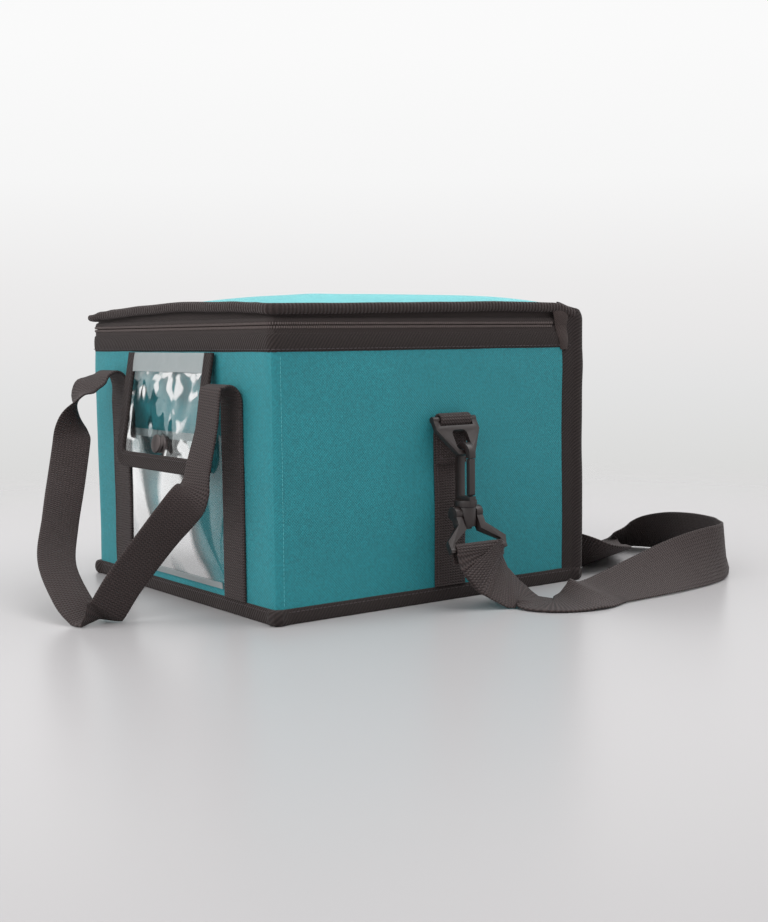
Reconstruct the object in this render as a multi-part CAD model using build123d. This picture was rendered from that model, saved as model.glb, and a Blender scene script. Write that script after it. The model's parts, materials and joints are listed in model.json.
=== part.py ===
from build123d import *
import math
import os

# Insulated specimen bag: a soft box with a zipped lid, two webbing carry handles, a clear
# document pocket with a flap, and a shoulder strap clipped to a ring on each side.
# Millimetres. Origin: middle of the bag's footprint, on the surface it stands on. +Z is up,
# the pocket face looks along -Y, and the strap clips hang on the +X and -X sides.

# Overall sizes
BAG_WIDTH = 246.0            # across the bindings, along X
BAG_DEPTH = 250.0            # across the bindings, along Y
LID_EDGE_HEIGHT = 187.0      # top of the lid's edge binding
LID_DOME = 14.0              # rise of the lid's middle over its edge
ZIP_HEIGHT = 177.0           # the line where the two rows of zip coils meet
BAND_BOTTOM = 161.0          # lower edge of the black band under the zip
BAND_TOP = 172.0

# Fabric, foam and binding
FABRIC = 1.2
TRIM_PROUD = 1.5             # how far a binding stands out over the cloth it covers
CORNER_RADIUS = 8.0
FOAM = 8.0
LINER = 0.8
BOARD = 2.0
BINDING_HEIGHT = 9.5
BINDING_TURN_IN = 6.0
HEM_GAP = 0.3                # running clearance between pieces that move past each other

# Webbing
WEB_WIDTH = 25.0
WEB_THICK = 1.8
STRAP_WIDTH = 38.0
STRAP_THICK = 1.6
HANDLE_SPACING = 152.0       # between the middles of the two runs on one face
HANDLE_PIVOT_Z = 145.0
HANDLE_PIVOT_OUT = 15.5      # pivot line's distance out from the cloth
ANCHOR_Y = 8.0               # middle of the side webbing and of the clip that hangs on it

# Clear pocket and flap
POCKET_BOTTOM = 14.0
POCKET_TOP = 110.0
POCKET_DEPTH = 5.5
CLEAR_SHEET = 0.6
FLAP_WIDTH = 116.0
FLAP_LENGTH = 77.0
FLAP_BINDING = 9.0
FLAP_BINDING_THICK = 2.4
FLAP_HANG_ANGLE = 9.5        # degrees that the flap stands off the face
STUD_Z = 102.0
STUD_RADIUS = 6.0

# Zip
COIL_HEIGHT = 1.05
ZIP_END_Y = 100.0            # where the zip stops, near the rear corners
SLIDER_Y = 84.0              # the closed slider's middle, on the -X side
SLIDER_LENGTH = 13.0
SLIDER_HEIGHT = 8.0
PULL_LENGTH = 30.0
PULL_WIDTH = 7.0

# Strap clip
RING_BAR_X = 126.5
RING_BAR_Z = 117.0
RING_BAR_RADIUS = 2.2
RING_WIDTH = 35.0
RING_THICK = 3.2
RING_TILT = 30.0             # degrees that the ring leans out at rest
RING_RIM_DISTANCE = 23.8     # from the bar to the rim that the hook hangs on
RIM_SIZE = 3.0
HOOK_THICK = 5.0
HOOK_BAR = 3.6
HOOK_GAP_RADIUS = 3.5
HOOK_SAG = 0.6               # how far the hook hangs down on the ring's rim
COLLAR_RADIUS = 7.3
COLLAR_TOP = 66.5
COLLAR_HEIGHT = 4.0
BARREL_RADIUS = 6.5
BARREL_HEIGHT = 12.2
YOKE_TILT = 29.5
YOKE_LENGTH = 24.1          # from the trunnions to the strap bar
YOKE_THICK = 3.6
YOKE_BAR_RADIUS = 1.9

# Strap adjuster on the run behind the bag
ADJUSTER_X = -20.0
ADJUSTER_LENGTH = 30.0
ADJUSTER_THICK = 2.6
ADJUSTER_BAR = 4.0
STRAP_REAR_GAP = 9.5         # from the rear cloth to the strap's middle
STRAP_REAR_LIFT = 5.0        # the strap's lower edge over the floor, where the adjuster holds it

# Worked out from the sizes above
FACE_X = BAG_WIDTH / 2 - TRIM_PROUD
FACE_Y = BAG_DEPTH / 2 - TRIM_PROUD
INNER_X = FACE_X - FABRIC
INNER_Y = FACE_Y - FABRIC
CAVITY_X = INNER_X - FOAM - LINER
CAVITY_Y = INNER_Y - FOAM - LINER
PANEL_THICK = 1.2
BOARD_TOP = PANEL_THICK + BOARD
FLOOR_FOAM_TOP = BOARD_TOP + FOAM
FOAM_TOP = BAND_TOP - 1.0
WRAP_BOTTOM = 0.8
LID_BOTTOM = ZIP_HEIGHT + HEM_GAP / 2
HOOK_X = RING_BAR_X + RING_RIM_DISTANCE * math.sin(math.radians(RING_TILT))
RIM_Z = RING_BAR_Z - RING_RIM_DISTANCE * math.cos(math.radians(RING_TILT))
BARREL_TOP = COLLAR_TOP - COLLAR_HEIGHT - HEM_GAP
TRUNNION_Z = BARREL_TOP - 3.9
YOKE_BAR_X = HOOK_X + YOKE_LENGTH * math.sin(math.radians(YOKE_TILT))
YOKE_BAR_Z = TRUNNION_Z - YOKE_LENGTH * math.cos(math.radians(YOKE_TILT))

parts = {}


def block(x0, x1, y0, y1, z0, z1):
    """A box between two corners."""
    box = Box(x1 - x0, y1 - y0, z1 - z0)
    return Pos((x0 + x1) / 2, (y0 + y1) / 2, (z0 + z1) / 2) * box


def slab(half_x, half_y, z0, z1, radius):
    """A plate with rounded corners, centred on the bag's axis."""
    outline = RectangleRounded(2 * half_x, 2 * half_y, radius)
    return Pos(0, 0, z0) * extrude(outline, z1 - z0)


def ring_wall(half_x, half_y, thick, z0, z1, radius):
    """A rounded wall that goes all the way round."""
    inner_radius = max(radius - thick, 0.5)
    outer = slab(half_x, half_y, z0, z1, radius)
    return outer - slab(half_x - thick, half_y - thick, z0 - 1, z1 + 1, inner_radius)


def ribbon(stations, width, thick):
    """Webbing through stations (x, y, z), (width direction), share of the full width."""
    points = [Vector(*s[0]) for s in stations]
    sections = []
    for i, station in enumerate(stations):
        ahead = points[min(i + 1, len(points) - 1)]
        behind = points[max(i - 1, 0)]
        tangent = (ahead - behind).normalized()
        across = Vector(*station[1])
        across = (across - tangent * across.dot(tangent)).normalized()
        normal = tangent.cross(across).normalized()
        half = across * (width * (station[2] if len(station) > 2 else 1.0) / 2)
        lift = normal * (thick / 2)
        corners = [
            points[i] + half + lift,
            points[i] - half + lift,
            points[i] - half - lift,
            points[i] + half - lift,
        ]
        sections.append(Wire.make_polygon(corners, close=True))
    return Solid.make_loft(sections, ruled=True)


def turned(shape, angle):
    """The shape turned about the upright axis of the bag."""
    return Rot(0, 0, angle) * shape


# Bottom, walls and lining
parts["bottom_panel"] = slab(
    FACE_X - BINDING_TURN_IN + TRIM_PROUD, FACE_Y - BINDING_TURN_IN + TRIM_PROUD,
    0, PANEL_THICK, CORNER_RADIUS - BINDING_TURN_IN + TRIM_PROUD)
binding_leg = ring_wall(FACE_X + TRIM_PROUD, FACE_Y + TRIM_PROUD, TRIM_PROUD,
                        0, BINDING_HEIGHT, CORNER_RADIUS + TRIM_PROUD)
binding_foot = ring_wall(FACE_X + TRIM_PROUD, FACE_Y + TRIM_PROUD, BINDING_TURN_IN,
                         0, WRAP_BOTTOM, CORNER_RADIUS + TRIM_PROUD)
parts["bottom_binding"] = binding_leg + binding_foot
parts["base_board"] = slab(INNER_X, INNER_Y, PANEL_THICK, BOARD_TOP, CORNER_RADIUS - FABRIC)

wall = ring_wall(FACE_X, FACE_Y, FABRIC, WRAP_BOTTOM, BAND_BOTTOM, CORNER_RADIUS)
rear_cut = block(-FACE_X - 1, FACE_X + 1, FACE_Y - CORNER_RADIUS, FACE_Y + 1,
                 0, BAND_BOTTOM + 1)
parts["outer_wrap"] = wall - rear_cut
parts["rear_panel"] = wall & rear_cut

parts["foam_bottom"] = slab(INNER_X - FOAM, INNER_Y - FOAM, BOARD_TOP, FLOOR_FOAM_TOP, 1.0)
foam_wall = ring_wall(INNER_X, INNER_Y, FOAM, BOARD_TOP, FOAM_TOP, CORNER_RADIUS - FABRIC)
for name, x0, x1, y0, y1 in [
    ("foam_front", -INNER_X, INNER_X, -INNER_Y, -INNER_Y + FOAM),
    ("foam_rear", -INNER_X, INNER_X, INNER_Y - FOAM, INNER_Y),
    ("foam_right", INNER_X - FOAM, INNER_X, -INNER_Y + FOAM, INNER_Y - FOAM),
    ("foam_left", -INNER_X, -INNER_X + FOAM, -INNER_Y + FOAM, INNER_Y - FOAM),
]:
    parts[name] = foam_wall & block(x0, x1, y0, y1, 0, FOAM_TOP)
liner_outer = slab(INNER_X - FOAM, INNER_Y - FOAM, FLOOR_FOAM_TOP, BAND_TOP, 1.0)
liner_inner = slab(CAVITY_X, CAVITY_Y, FLOOR_FOAM_TOP + LINER, BAND_TOP + 1, 0.8)
parts["liner_tub"] = liner_outer - liner_inner

# Band, zip tape and coils under the lid
BAND_THICK = 1.6
BAND_PROUD = 0.4
parts["body_band"] = ring_wall(FACE_X + BAND_PROUD, FACE_Y + BAND_PROUD, BAND_THICK,
                               BAND_BOTTOM, BAND_TOP, CORNER_RADIUS + BAND_PROUD)
TAPE_THICK = 0.8
TAPE_INSET = 1.6
zip_side = block(-FACE_X - 9, FACE_X + 9, -FACE_Y - 9, ZIP_END_Y, 0, LID_EDGE_HEIGHT)


def zip_row(inset, thick, z0, z1):
    """One row of the zip: round the front and both sides, open at the rear."""
    whole = ring_wall(FACE_X - inset, FACE_Y - inset, thick, z0, z1, CORNER_RADIUS - inset)
    return whole & zip_side


COIL_INSET = 0.3
parts["lower_zip_tape"] = zip_row(TAPE_INSET, TAPE_THICK, BAND_TOP, LID_BOTTOM - HEM_GAP)
parts["lower_zip_coil"] = zip_row(COIL_INSET, TAPE_INSET - COIL_INSET,
                                  LID_BOTTOM - HEM_GAP - COIL_HEIGHT, LID_BOTTOM - HEM_GAP)

# Rear edge bindings and the tabs over the zip's ends
REAR_BINDING_WIDTH = 10.0
corner = ring_wall(FACE_X + TRIM_PROUD, FACE_Y + TRIM_PROUD, TRIM_PROUD,
                   BINDING_HEIGHT, BAND_BOTTOM, CORNER_RADIUS + TRIM_PROUD)
corner += ring_wall(FACE_X + TRIM_PROUD, FACE_Y + TRIM_PROUD, TRIM_PROUD - BAND_PROUD,
                    BAND_BOTTOM, BAND_TOP, CORNER_RADIUS + TRIM_PROUD)
corner_keep = block(FACE_X - REAR_BINDING_WIDTH, BAG_WIDTH, FACE_Y - REAR_BINDING_WIDTH,
                    BAG_DEPTH, 0, LID_EDGE_HEIGHT)
right_corner = corner & corner_keep
parts["rear_binding_right"] = right_corner
parts["rear_binding_left"] = right_corner.mirror(Plane.YZ)
tab = block(FACE_X + BAND_PROUD, FACE_X + TRIM_PROUD, ZIP_END_Y, FACE_Y - REAR_BINDING_WIDTH,
            BAND_BOTTOM, LID_BOTTOM - HEM_GAP)
parts["zip_tab_right"] = tab
parts["zip_tab_left"] = tab.mirror(Plane.YZ)
hinge_wall = ring_wall(FACE_X, FACE_Y, FABRIC, BAND_TOP, LID_BOTTOM - HEM_GAP, CORNER_RADIUS)
parts["hinge_strip"] = hinge_wall - block(-BAG_WIDTH, BAG_WIDTH, -BAG_DEPTH, ZIP_END_Y,
                                          0, LID_EDGE_HEIGHT)

# Lid: everything here turns about the rear edge
LID_BAND_TOP = 182.0
parts["upper_zip_coil"] = zip_row(COIL_INSET, TAPE_INSET - COIL_INSET,
                                  LID_BOTTOM, LID_BOTTOM + COIL_HEIGHT)
parts["upper_zip_tape"] = zip_row(TAPE_INSET, TAPE_THICK, LID_BOTTOM, LID_BAND_TOP)
parts["lid_band"] = ring_wall(FACE_X - TAPE_INSET - TAPE_THICK, FACE_Y - TAPE_INSET - TAPE_THICK,
                              FABRIC, LID_BOTTOM, LID_BAND_TOP, CORNER_RADIUS - 2.4)
roll = slab(FACE_X + TRIM_PROUD + 0.8, FACE_Y + TRIM_PROUD, LID_BAND_TOP, LID_EDGE_HEIGHT,
            CORNER_RADIUS + 1.0)
roll = fillet(roll.edges().filter_by(Plane.XY), 2.2)
ROLL_INSET = 4.5
parts["lid_binding"] = roll - slab(FACE_X - ROLL_INSET, FACE_Y - ROLL_INSET,
                                   LID_BAND_TOP - 1, LID_EDGE_HEIGHT + 1,
                                   CORNER_RADIUS - ROLL_INSET + 1)


def vault(half_x, half_y, z_edge, rise):
    """The space under two crossed arches, so the edge is level and the middle is crowned."""
    radius_x = (half_x ** 2 + rise ** 2) / (2 * rise)
    radius_y = (half_y ** 2 + rise ** 2) / (2 * rise)
    arch_x = Pos(0, 0, z_edge + rise - radius_x) * Rot(90, 0, 0) * Cylinder(radius_x, 3 * half_y)
    arch_y = Pos(0, 0, z_edge + rise - radius_y) * Rot(0, 90, 0) * Cylinder(radius_y, 3 * half_x)
    return arch_x & arch_y


LID_EDGE_Z = 184.5
LID_CLOTH = 1.4
LID_LINER_TOP = LID_BOTTOM + LINER
lid_x = FACE_X - ROLL_INSET
lid_y = FACE_Y - ROLL_INSET
lid_rise = LID_DOME + LID_EDGE_HEIGHT - LID_EDGE_Z
lid_radius = CORNER_RADIUS - ROLL_INSET + 1
pillow = vault(lid_x, lid_y, LID_EDGE_Z, lid_rise)
pillow_under = vault(lid_x, lid_y, LID_EDGE_Z - LID_CLOTH, lid_rise)
lid_column = slab(lid_x, lid_y, LID_EDGE_Z - LID_CLOTH, LID_EDGE_HEIGHT + 2 * LID_DOME, lid_radius)
parts["lid_panel"] = (lid_column & pillow) - pillow_under
foam_column = slab(lid_x, lid_y, LID_LINER_TOP, LID_EDGE_HEIGHT + 2 * LID_DOME, lid_radius)
parts["lid_foam"] = foam_column & pillow_under
parts["lid_liner"] = slab(lid_x, lid_y, LID_BOTTOM, LID_LINER_TOP, lid_radius)

# Webbing runs, each with a short stub that stands out to the handle's hinge line
HANDLE_PIVOT_Y = -(FACE_Y + HANDLE_PIVOT_OUT)
STUB_GAP = 1.5
HANDLE_ROOT_RADIUS = 1.0
face_web_y = -(FACE_Y + WEB_THICK / 2)
stub_path = [
    (face_web_y, BINDING_HEIGHT),
    (face_web_y, HANDLE_PIVOT_Z - 9),
    (face_web_y - 0.3, HANDLE_PIVOT_Z - 5),
    (face_web_y - 1.6, HANDLE_PIVOT_Z - 1.4),
    (face_web_y - 4.6, HANDLE_PIVOT_Z + 1.8),
    (face_web_y - 8.6, HANDLE_PIVOT_Z + 2.8),
    (HANDLE_PIVOT_Y + 3.0, HANDLE_PIVOT_Z + 2.1),
    (HANDLE_PIVOT_Y + 0.8 * STUB_GAP, HANDLE_PIVOT_Z + 0.6 * STUB_GAP),
]
half_spacing = HANDLE_SPACING / 2
run = ribbon([((half_spacing, y, z), (1, 0, 0)) for y, z in stub_path], WEB_WIDTH, WEB_THICK)
parts["front_webbing_right"] = run
parts["front_webbing_left"] = run.mirror(Plane.YZ)
parts["rear_webbing_right"] = run.mirror(Plane.XZ)
parts["rear_webbing_left"] = turned(run, 180)

# The front handle's loop as it hangs in the photo: middle of the webbing, then its width
# direction. It starts at the left root, turns over once, touches the ground and climbs back.
handle_stations = [
    ((-half_spacing, HANDLE_PIVOT_Y, HANDLE_PIVOT_Z), (1, 0, 0)),
    ((-76.3, -140.8, 139.5), (0.98, 0.2, -0.1)),
    ((-77.0, -147.5, 135.8), (0.94, 0.3, -0.15)),
    ((-77.5, -155.5, 132.0), (0.99, -0.1, 0)),
    ((-76.0, -158.8, 122.0), (0.8, -0.6, 0)),
    ((-72.0, -162.5, 111.5), (0.26, -0.97, 0)),
    ((-66.5, -166.5, 100.0), (-0.35, -0.93, 0)),
    ((-56.0, -175.0, 79.0), (-0.3, -0.93, 0.1)),
    ((-34.0, -190.0, 52.0), (-0.1, -0.95, 0.3)),
    ((-7.0, -204.5, 30.5), (0, -0.99, 0.1)),
    ((25.0, -209.0, 13.0), (0, -1, 0)),
    ((40.0, -207.0, 5.4), (-0.05, -1, 0)),
    ((46.5, -204.5, 2.8), (-0.05, -1, 0)),
    ((50.5, -199.0, 7.0), (-0.05, -0.96, 0.25)),
    ((54.0, -187.5, 25.0), (-0.05, -0.9, 0.42)),
    ((60.0, -166.5, 52.0), (-0.1, -0.86, 0.5)),
    ((65.5, -155.0, 67.0), (-0.45, -0.78, 0.42)),
    ((71.5, -150.0, 77.0), (-0.9, -0.4, 0.15)),
    ((72.2, -147.8, 85.0), (-0.98, -0.15, 0)),
    ((72.2, -145.5, 95.0), (-0.99, -0.1, 0)),
    ((74.5, -140.0, 118.0), (-1, 0, 0)),
    ((half_spacing, HANDLE_PIVOT_Y, HANDLE_PIVOT_Z), (-1, 0, 0)),
]
root_pins = [
    Pos(side * half_spacing, HANDLE_PIVOT_Y, HANDLE_PIVOT_Z) * Rot(0, 90, 0)
    * Cylinder(HANDLE_ROOT_RADIUS, WEB_WIDTH)
    for side in (-1, 1)
]
# The rear handle hangs straight down and lies on the ground. One half, then its mirror.
hanging_half = [
    ((-half_spacing, HANDLE_PIVOT_Y, HANDLE_PIVOT_Z), (1, 0, 0)),
    ((-77.0, -141.5, 134.0), (1, 0, 0)),
    ((-79.0, -146.0, 117.0), (1, -0.1, 0)),
    ((-80.0, -151.0, 96.0), (0.93, -0.37, 0)),
    ((-78.0, -156.5, 74.0), (0.8, -0.6, 0)),
    ((-72.0, -161.5, 52.0), (0.6, -0.8, 0)),
    ((-60.0, -166.0, 31.0), (0.3, -0.95, 0)),
    ((-43.0, -169.0, 14.0), (0.1, -1, 0)),
    ((-22.0, -171.0, 4.0), (0, -1, 0)),
]
hanging_stations = hanging_half + [((0, -171.5, 1.5), (0, -1, 0))]
hanging_stations += [((-x, y, z), (-wx, wy, wz)) for (x, y, z), (wx, wy, wz)
                     in reversed(hanging_half)]
pins = root_pins[0] + root_pins[1]
parts["front_handle"] = ribbon(handle_stations, WEB_WIDTH, WEB_THICK) + pins
parts["rear_handle"] = turned(ribbon(hanging_stations, WEB_WIDTH, WEB_THICK) + pins, 180)

# Clear document pocket on the front, and the flap that hangs over its mouth
POCKET_HALF = HANDLE_SPACING / 2 - WEB_WIDTH / 2 - HEM_GAP
pocket_front = -(FACE_Y + POCKET_DEPTH)
tray = block(-POCKET_HALF, POCKET_HALF, pocket_front, -FACE_Y, POCKET_BOTTOM, POCKET_TOP)
tray_space = block(-POCKET_HALF + CLEAR_SHEET, POCKET_HALF - CLEAR_SHEET,
                   pocket_front + CLEAR_SHEET, 0, POCKET_BOTTOM + CLEAR_SHEET, POCKET_TOP + 1)
parts["pocket_sheet"] = tray - tray_space
STUD_CAP = 2.2
parts["pocket_stud"] = Pos(0, pocket_front - STUD_CAP / 2, STUD_Z - 1) * Rot(90, 0, 0) * Cylinder(
    STUD_RADIUS, STUD_CAP)
flap_hinge_y = -(FACE_Y + BAND_PROUD + HEM_GAP + FLAP_BINDING_THICK / 2)
flap_hinge_z = BAND_BOTTOM - 0.4
flap_place = Pos(0, flap_hinge_y, flap_hinge_z) * Rot(-FLAP_HANG_ANGLE, 0, 0)
FLAP_CORNER = 14.0
flap_plan = Plane.XZ * Pos(0, -FLAP_LENGTH / 2) * RectangleRounded(
    FLAP_WIDTH, FLAP_LENGTH, FLAP_CORNER)
flap_plan += Plane.XZ * Pos(0, -FLAP_LENGTH / 4) * Rectangle(FLAP_WIDTH, FLAP_LENGTH / 2)
window_width = FLAP_WIDTH - 2 * FLAP_BINDING
window_length = FLAP_LENGTH - FLAP_BINDING
window_plan = Plane.XZ * Pos(0, -window_length / 2) * RectangleRounded(
    window_width, window_length, FLAP_CORNER - FLAP_BINDING)
window_plan += Plane.XZ * Pos(0, -window_length / 4) * Rectangle(
    window_width, window_length / 2)
binding = extrude(flap_plan, FLAP_BINDING_THICK / 2, both=True)
binding -= extrude(window_plan, FLAP_BINDING_THICK, both=True)
window = extrude(window_plan, CLEAR_SHEET / 2, both=True)
STUD_SOCKET = 2.0
outer_cap = Pos(0, -CLEAR_SHEET / 2 - STUD_CAP / 2, 0) * Rot(90, 0, 0) * Cylinder(
    STUD_RADIUS, STUD_CAP)
inner_cap = Pos(0, CLEAR_SHEET / 2 + STUD_SOCKET / 2, 0) * Rot(90, 0, 0) * Cylinder(
    STUD_RADIUS, STUD_SOCKET)
post = Rot(90, 0, 0) * Cylinder(1.5, CLEAR_SHEET)
stud_drop = Pos(0, 0, -(flap_hinge_z - STUD_Z) / math.cos(math.radians(FLAP_HANG_ANGLE)))
post_hole = stud_drop * Rot(90, 0, 0) * Cylinder(1.5, 2 * CLEAR_SHEET)
parts["flap_binding"] = flap_place * binding
parts["flap_window"] = flap_place * (window - post_hole)
parts["flap_stud"] = flap_place * (stud_drop * (outer_cap + inner_cap + post))

# Zip slider on the left side and the pull that swings on it
slider_x = -FACE_X
PLATE = 2.0
slider_low = ZIP_HEIGHT - SLIDER_HEIGHT / 2
y0 = SLIDER_Y - SLIDER_LENGTH / 2
y1 = SLIDER_Y + SLIDER_LENGTH / 2
plate = block(slider_x - PLATE, slider_x, y0, y1, slider_low, slider_low + SLIDER_HEIGHT)
flange = block(slider_x, slider_x + TAPE_INSET - HEM_GAP, y0, y1, slider_low,
               LID_BOTTOM - HEM_GAP - COIL_HEIGHT - HEM_GAP)
BRIDGE_REACH = 3.6
BRIDGE_BAR = 1.4
BRIDGE_HALF = 4.5
bridge = block(slider_x - PLATE - BRIDGE_REACH, slider_x - PLATE,
               SLIDER_Y - BRIDGE_HALF, SLIDER_Y + BRIDGE_HALF,
               ZIP_HEIGHT - 1.2, ZIP_HEIGHT + 1.2)
bridge -= block(slider_x - PLATE - BRIDGE_REACH + BRIDGE_BAR, slider_x - PLATE,
                SLIDER_Y - BRIDGE_HALF + BRIDGE_BAR, SLIDER_Y + BRIDGE_HALF - BRIDGE_BAR,
                ZIP_HEIGHT - 2, ZIP_HEIGHT + 2)
parts["zip_slider"] = plate + flange + bridge
PULL_THICK = 1.4
PULL_EYE = 4.6
pull_x = slider_x - PLATE - (BRIDGE_REACH - BRIDGE_BAR) / 2
pull = Pos(pull_x, SLIDER_Y - PULL_LENGTH / 2 + PULL_THICK / 2, ZIP_HEIGHT) * Box(
    PULL_THICK, PULL_LENGTH, PULL_WIDTH)
pull -= block(pull_x - PULL_THICK, pull_x + PULL_THICK,
              SLIDER_Y - PULL_THICK / 2 - BRIDGE_HALF - 1.0, SLIDER_Y - PULL_THICK / 2,
              ZIP_HEIGHT - PULL_EYE / 2, ZIP_HEIGHT + PULL_EYE / 2)
parts["zip_pull"] = pull

# Strap anchor on the right side: webbing looped round the bar of the hanging ring
loop_radius = RING_BAR_RADIUS + HEM_GAP + WEB_THICK / 2
side_web_x = FACE_X + WEB_THICK / 2
loop_points = [
    (side_web_x, BINDING_HEIGHT),
    (side_web_x, RING_BAR_Z - 7.5),
    (side_web_x + 0.3, RING_BAR_Z - 3.5),
]
for angle in range(180, -111, -29):
    a = math.radians(angle)
    loop_points.append((RING_BAR_X + loop_radius * math.cos(a),
                        RING_BAR_Z + loop_radius * math.sin(a)))
ANCHOR_TAIL_Z = 90.0
tail_x = side_web_x + WEB_THICK + 0.05
loop_points += [
    (tail_x + 0.3, RING_BAR_Z - 7.5),
    (tail_x, RING_BAR_Z - 11.0),
    (tail_x, ANCHOR_TAIL_Z),
]
anchor = ribbon([((x, ANCHOR_Y, z), (0, 1, 0)) for x, z in loop_points], WEB_WIDTH, WEB_THICK)


def tilted(shape, x, z, tilt):
    """Place a flat piece drawn as (across, down) so it hangs at this tilt from (x, z)."""
    return Pos(x, ANCHOR_Y, z) * Rot(0, -tilt, 0) * shape


def plate_yz(points, thick):
    """A plate in the YZ plane, from (across, down) corners."""
    outline = Polyline(*[(u, -v) for u, v in points], close=True)
    return extrude(Plane.YZ * make_face(outline), thick / 2, both=True)


RING_SIDE = WEB_WIDTH / 2 + 0.8
SLOT_BOTTOM = loop_radius + WEB_THICK / 2 + 0.6
CROSS_BAR = 2.8
RING_TIP = RING_RIM_DISTANCE + RIM_SIZE / 2
TIP_HALF = 6.5
EYE_HALF = 6.0
ring_plate = plate_yz([
    (-RING_WIDTH / 2, 0), (RING_WIDTH / 2, 0), (RING_WIDTH / 2, SLOT_BOTTOM + CROSS_BAR),
    (TIP_HALF, RING_TIP), (-TIP_HALF, RING_TIP), (-RING_WIDTH / 2, SLOT_BOTTOM + CROSS_BAR),
], RING_THICK)
ring_plate -= plate_yz([
    (-RING_SIDE, -1), (RING_SIDE, -1), (RING_SIDE, SLOT_BOTTOM), (-RING_SIDE, SLOT_BOTTOM),
], 2 * RING_THICK)
ring_plate += Rot(90, 0, 0) * Cylinder(RING_BAR_RADIUS, RING_WIDTH)
eye_top = SLOT_BOTTOM + CROSS_BAR + 0.4
eye_length = RING_TIP - RIM_SIZE - eye_top
eye = Plane.YZ * Pos(0, -(eye_top + eye_length / 2)) * RectangleRounded(
    2 * EYE_HALF, eye_length, 3.2)
ring_plate -= extrude(eye, RING_THICK, both=True)
ring_right = tilted(ring_plate, RING_BAR_X, RING_BAR_Z, RING_TILT)

# Snap hook: body bar on the bag's side, sprung gate on the outside, swivel stem below
hook_outer = HOOK_GAP_RADIUS + HOOK_BAR
arch_z = RIM_Z - HOOK_SAG
base_top = COLLAR_TOP + 2.6
hook = Pos(0, 0, arch_z) * Rot(90, 0, 0) * (
    Cylinder(hook_outer, HOOK_THICK) - Cylinder(HOOK_GAP_RADIUS, HOOK_THICK + 2))
hook -= block(-hook_outer - 1, hook_outer + 1, -HOOK_THICK, HOOK_THICK,
              arch_z - hook_outer - 1, arch_z)
hook += block(-hook_outer, -HOOK_GAP_RADIUS, -HOOK_THICK / 2, HOOK_THICK / 2, COLLAR_TOP, arch_z)
NOSE_DROP = 2.6
hook += block(HOOK_GAP_RADIUS, hook_outer, -HOOK_THICK / 2, HOOK_THICK / 2,
              arch_z - NOSE_DROP, arch_z)
hook += block(-hook_outer, hook_outer, -HOOK_THICK / 2, HOOK_THICK / 2, COLLAR_TOP, base_top)
hook += Pos(0, 0, COLLAR_TOP - COLLAR_HEIGHT / 2) * Cylinder(COLLAR_RADIUS, COLLAR_HEIGHT)
STEM_RADIUS = 2.4
STEM_HEAD = 1.4
barrel_bottom = BARREL_TOP - BARREL_HEIGHT
stem_bottom = barrel_bottom - HEM_GAP - STEM_HEAD
hook += Pos(0, 0, (stem_bottom + COLLAR_TOP) / 2) * Cylinder(
    STEM_RADIUS, COLLAR_TOP - stem_bottom)
hook += Pos(0, 0, stem_bottom + STEM_HEAD / 2) * Cylinder(STEM_RADIUS + 1.6, STEM_HEAD)
hook_right = Pos(HOOK_X, ANCHOR_Y, 0) * hook
gate_pivot_z = base_top + HEM_GAP + HOOK_BAR / 2
gate_x = HOOK_GAP_RADIUS + HOOK_BAR / 2
GATE_THICK = HOOK_THICK - 0.6
gate = block(gate_x - HOOK_BAR / 2, gate_x + HOOK_BAR / 2, -GATE_THICK / 2, GATE_THICK / 2,
             gate_pivot_z, arch_z - NOSE_DROP - HEM_GAP)
gate += Pos(gate_x, 0, gate_pivot_z) * Rot(90, 0, 0) * Cylinder(HOOK_BAR / 2, GATE_THICK)
gate_right = Pos(HOOK_X, ANCHOR_Y, 0) * gate

# Swivel barrel with its side pins, and the yoke that carries the strap
YOKE_INSIDE = BARREL_RADIUS + HEM_GAP
YOKE_ARM = 3.2
PIN_RADIUS = 1.7
YOKE_EYE_RADIUS = 3.4
PIN_HEAD_RADIUS = 2.9
PIN_HEAD = 1.1
arm_outside = YOKE_INSIDE + YOKE_ARM
barrel = Pos(0, 0, (BARREL_TOP + barrel_bottom) / 2) * (
    Cylinder(BARREL_RADIUS, BARREL_HEIGHT) - Cylinder(STEM_RADIUS + HEM_GAP, BARREL_HEIGHT + 1))
pins = Cylinder(PIN_RADIUS, 2 * arm_outside)
for side in (-1, 1):
    pins += Pos(0, 0, side * (arm_outside + PIN_HEAD / 2)) * Cylinder(PIN_HEAD_RADIUS, PIN_HEAD)
pins -= Cylinder(STEM_RADIUS + 1.6, 2 * (STEM_RADIUS + 1.6))
barrel += Pos(0, 0, TRUNNION_Z) * Rot(90, 0, 0) * pins
barrel_right = Pos(HOOK_X, ANCHOR_Y, 0) * barrel
YOKE_HALF = STRAP_WIDTH / 2 + 0.5
yoke_outer_half = YOKE_HALF + YOKE_ARM
neck = 11.5
shoulder = YOKE_LENGTH - 5.0
yoke_plate = plate_yz([
    (-arm_outside, -3), (arm_outside, -3), (arm_outside, neck - 2.5),
    (yoke_outer_half, shoulder), (yoke_outer_half, YOKE_LENGTH + YOKE_BAR_RADIUS),
    (-yoke_outer_half, YOKE_LENGTH + YOKE_BAR_RADIUS), (-yoke_outer_half, shoulder),
    (-arm_outside, neck - 2.5),
], YOKE_THICK)
yoke_plate -= plate_yz([
    (-YOKE_INSIDE, -4), (YOKE_INSIDE, -4), (YOKE_INSIDE, neck),
    (YOKE_HALF, shoulder + 0.5), (YOKE_HALF, YOKE_LENGTH + 9), (-YOKE_HALF, YOKE_LENGTH + 9),
    (-YOKE_HALF, shoulder + 0.5), (-YOKE_INSIDE, neck),
], 2 * YOKE_THICK)
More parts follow.
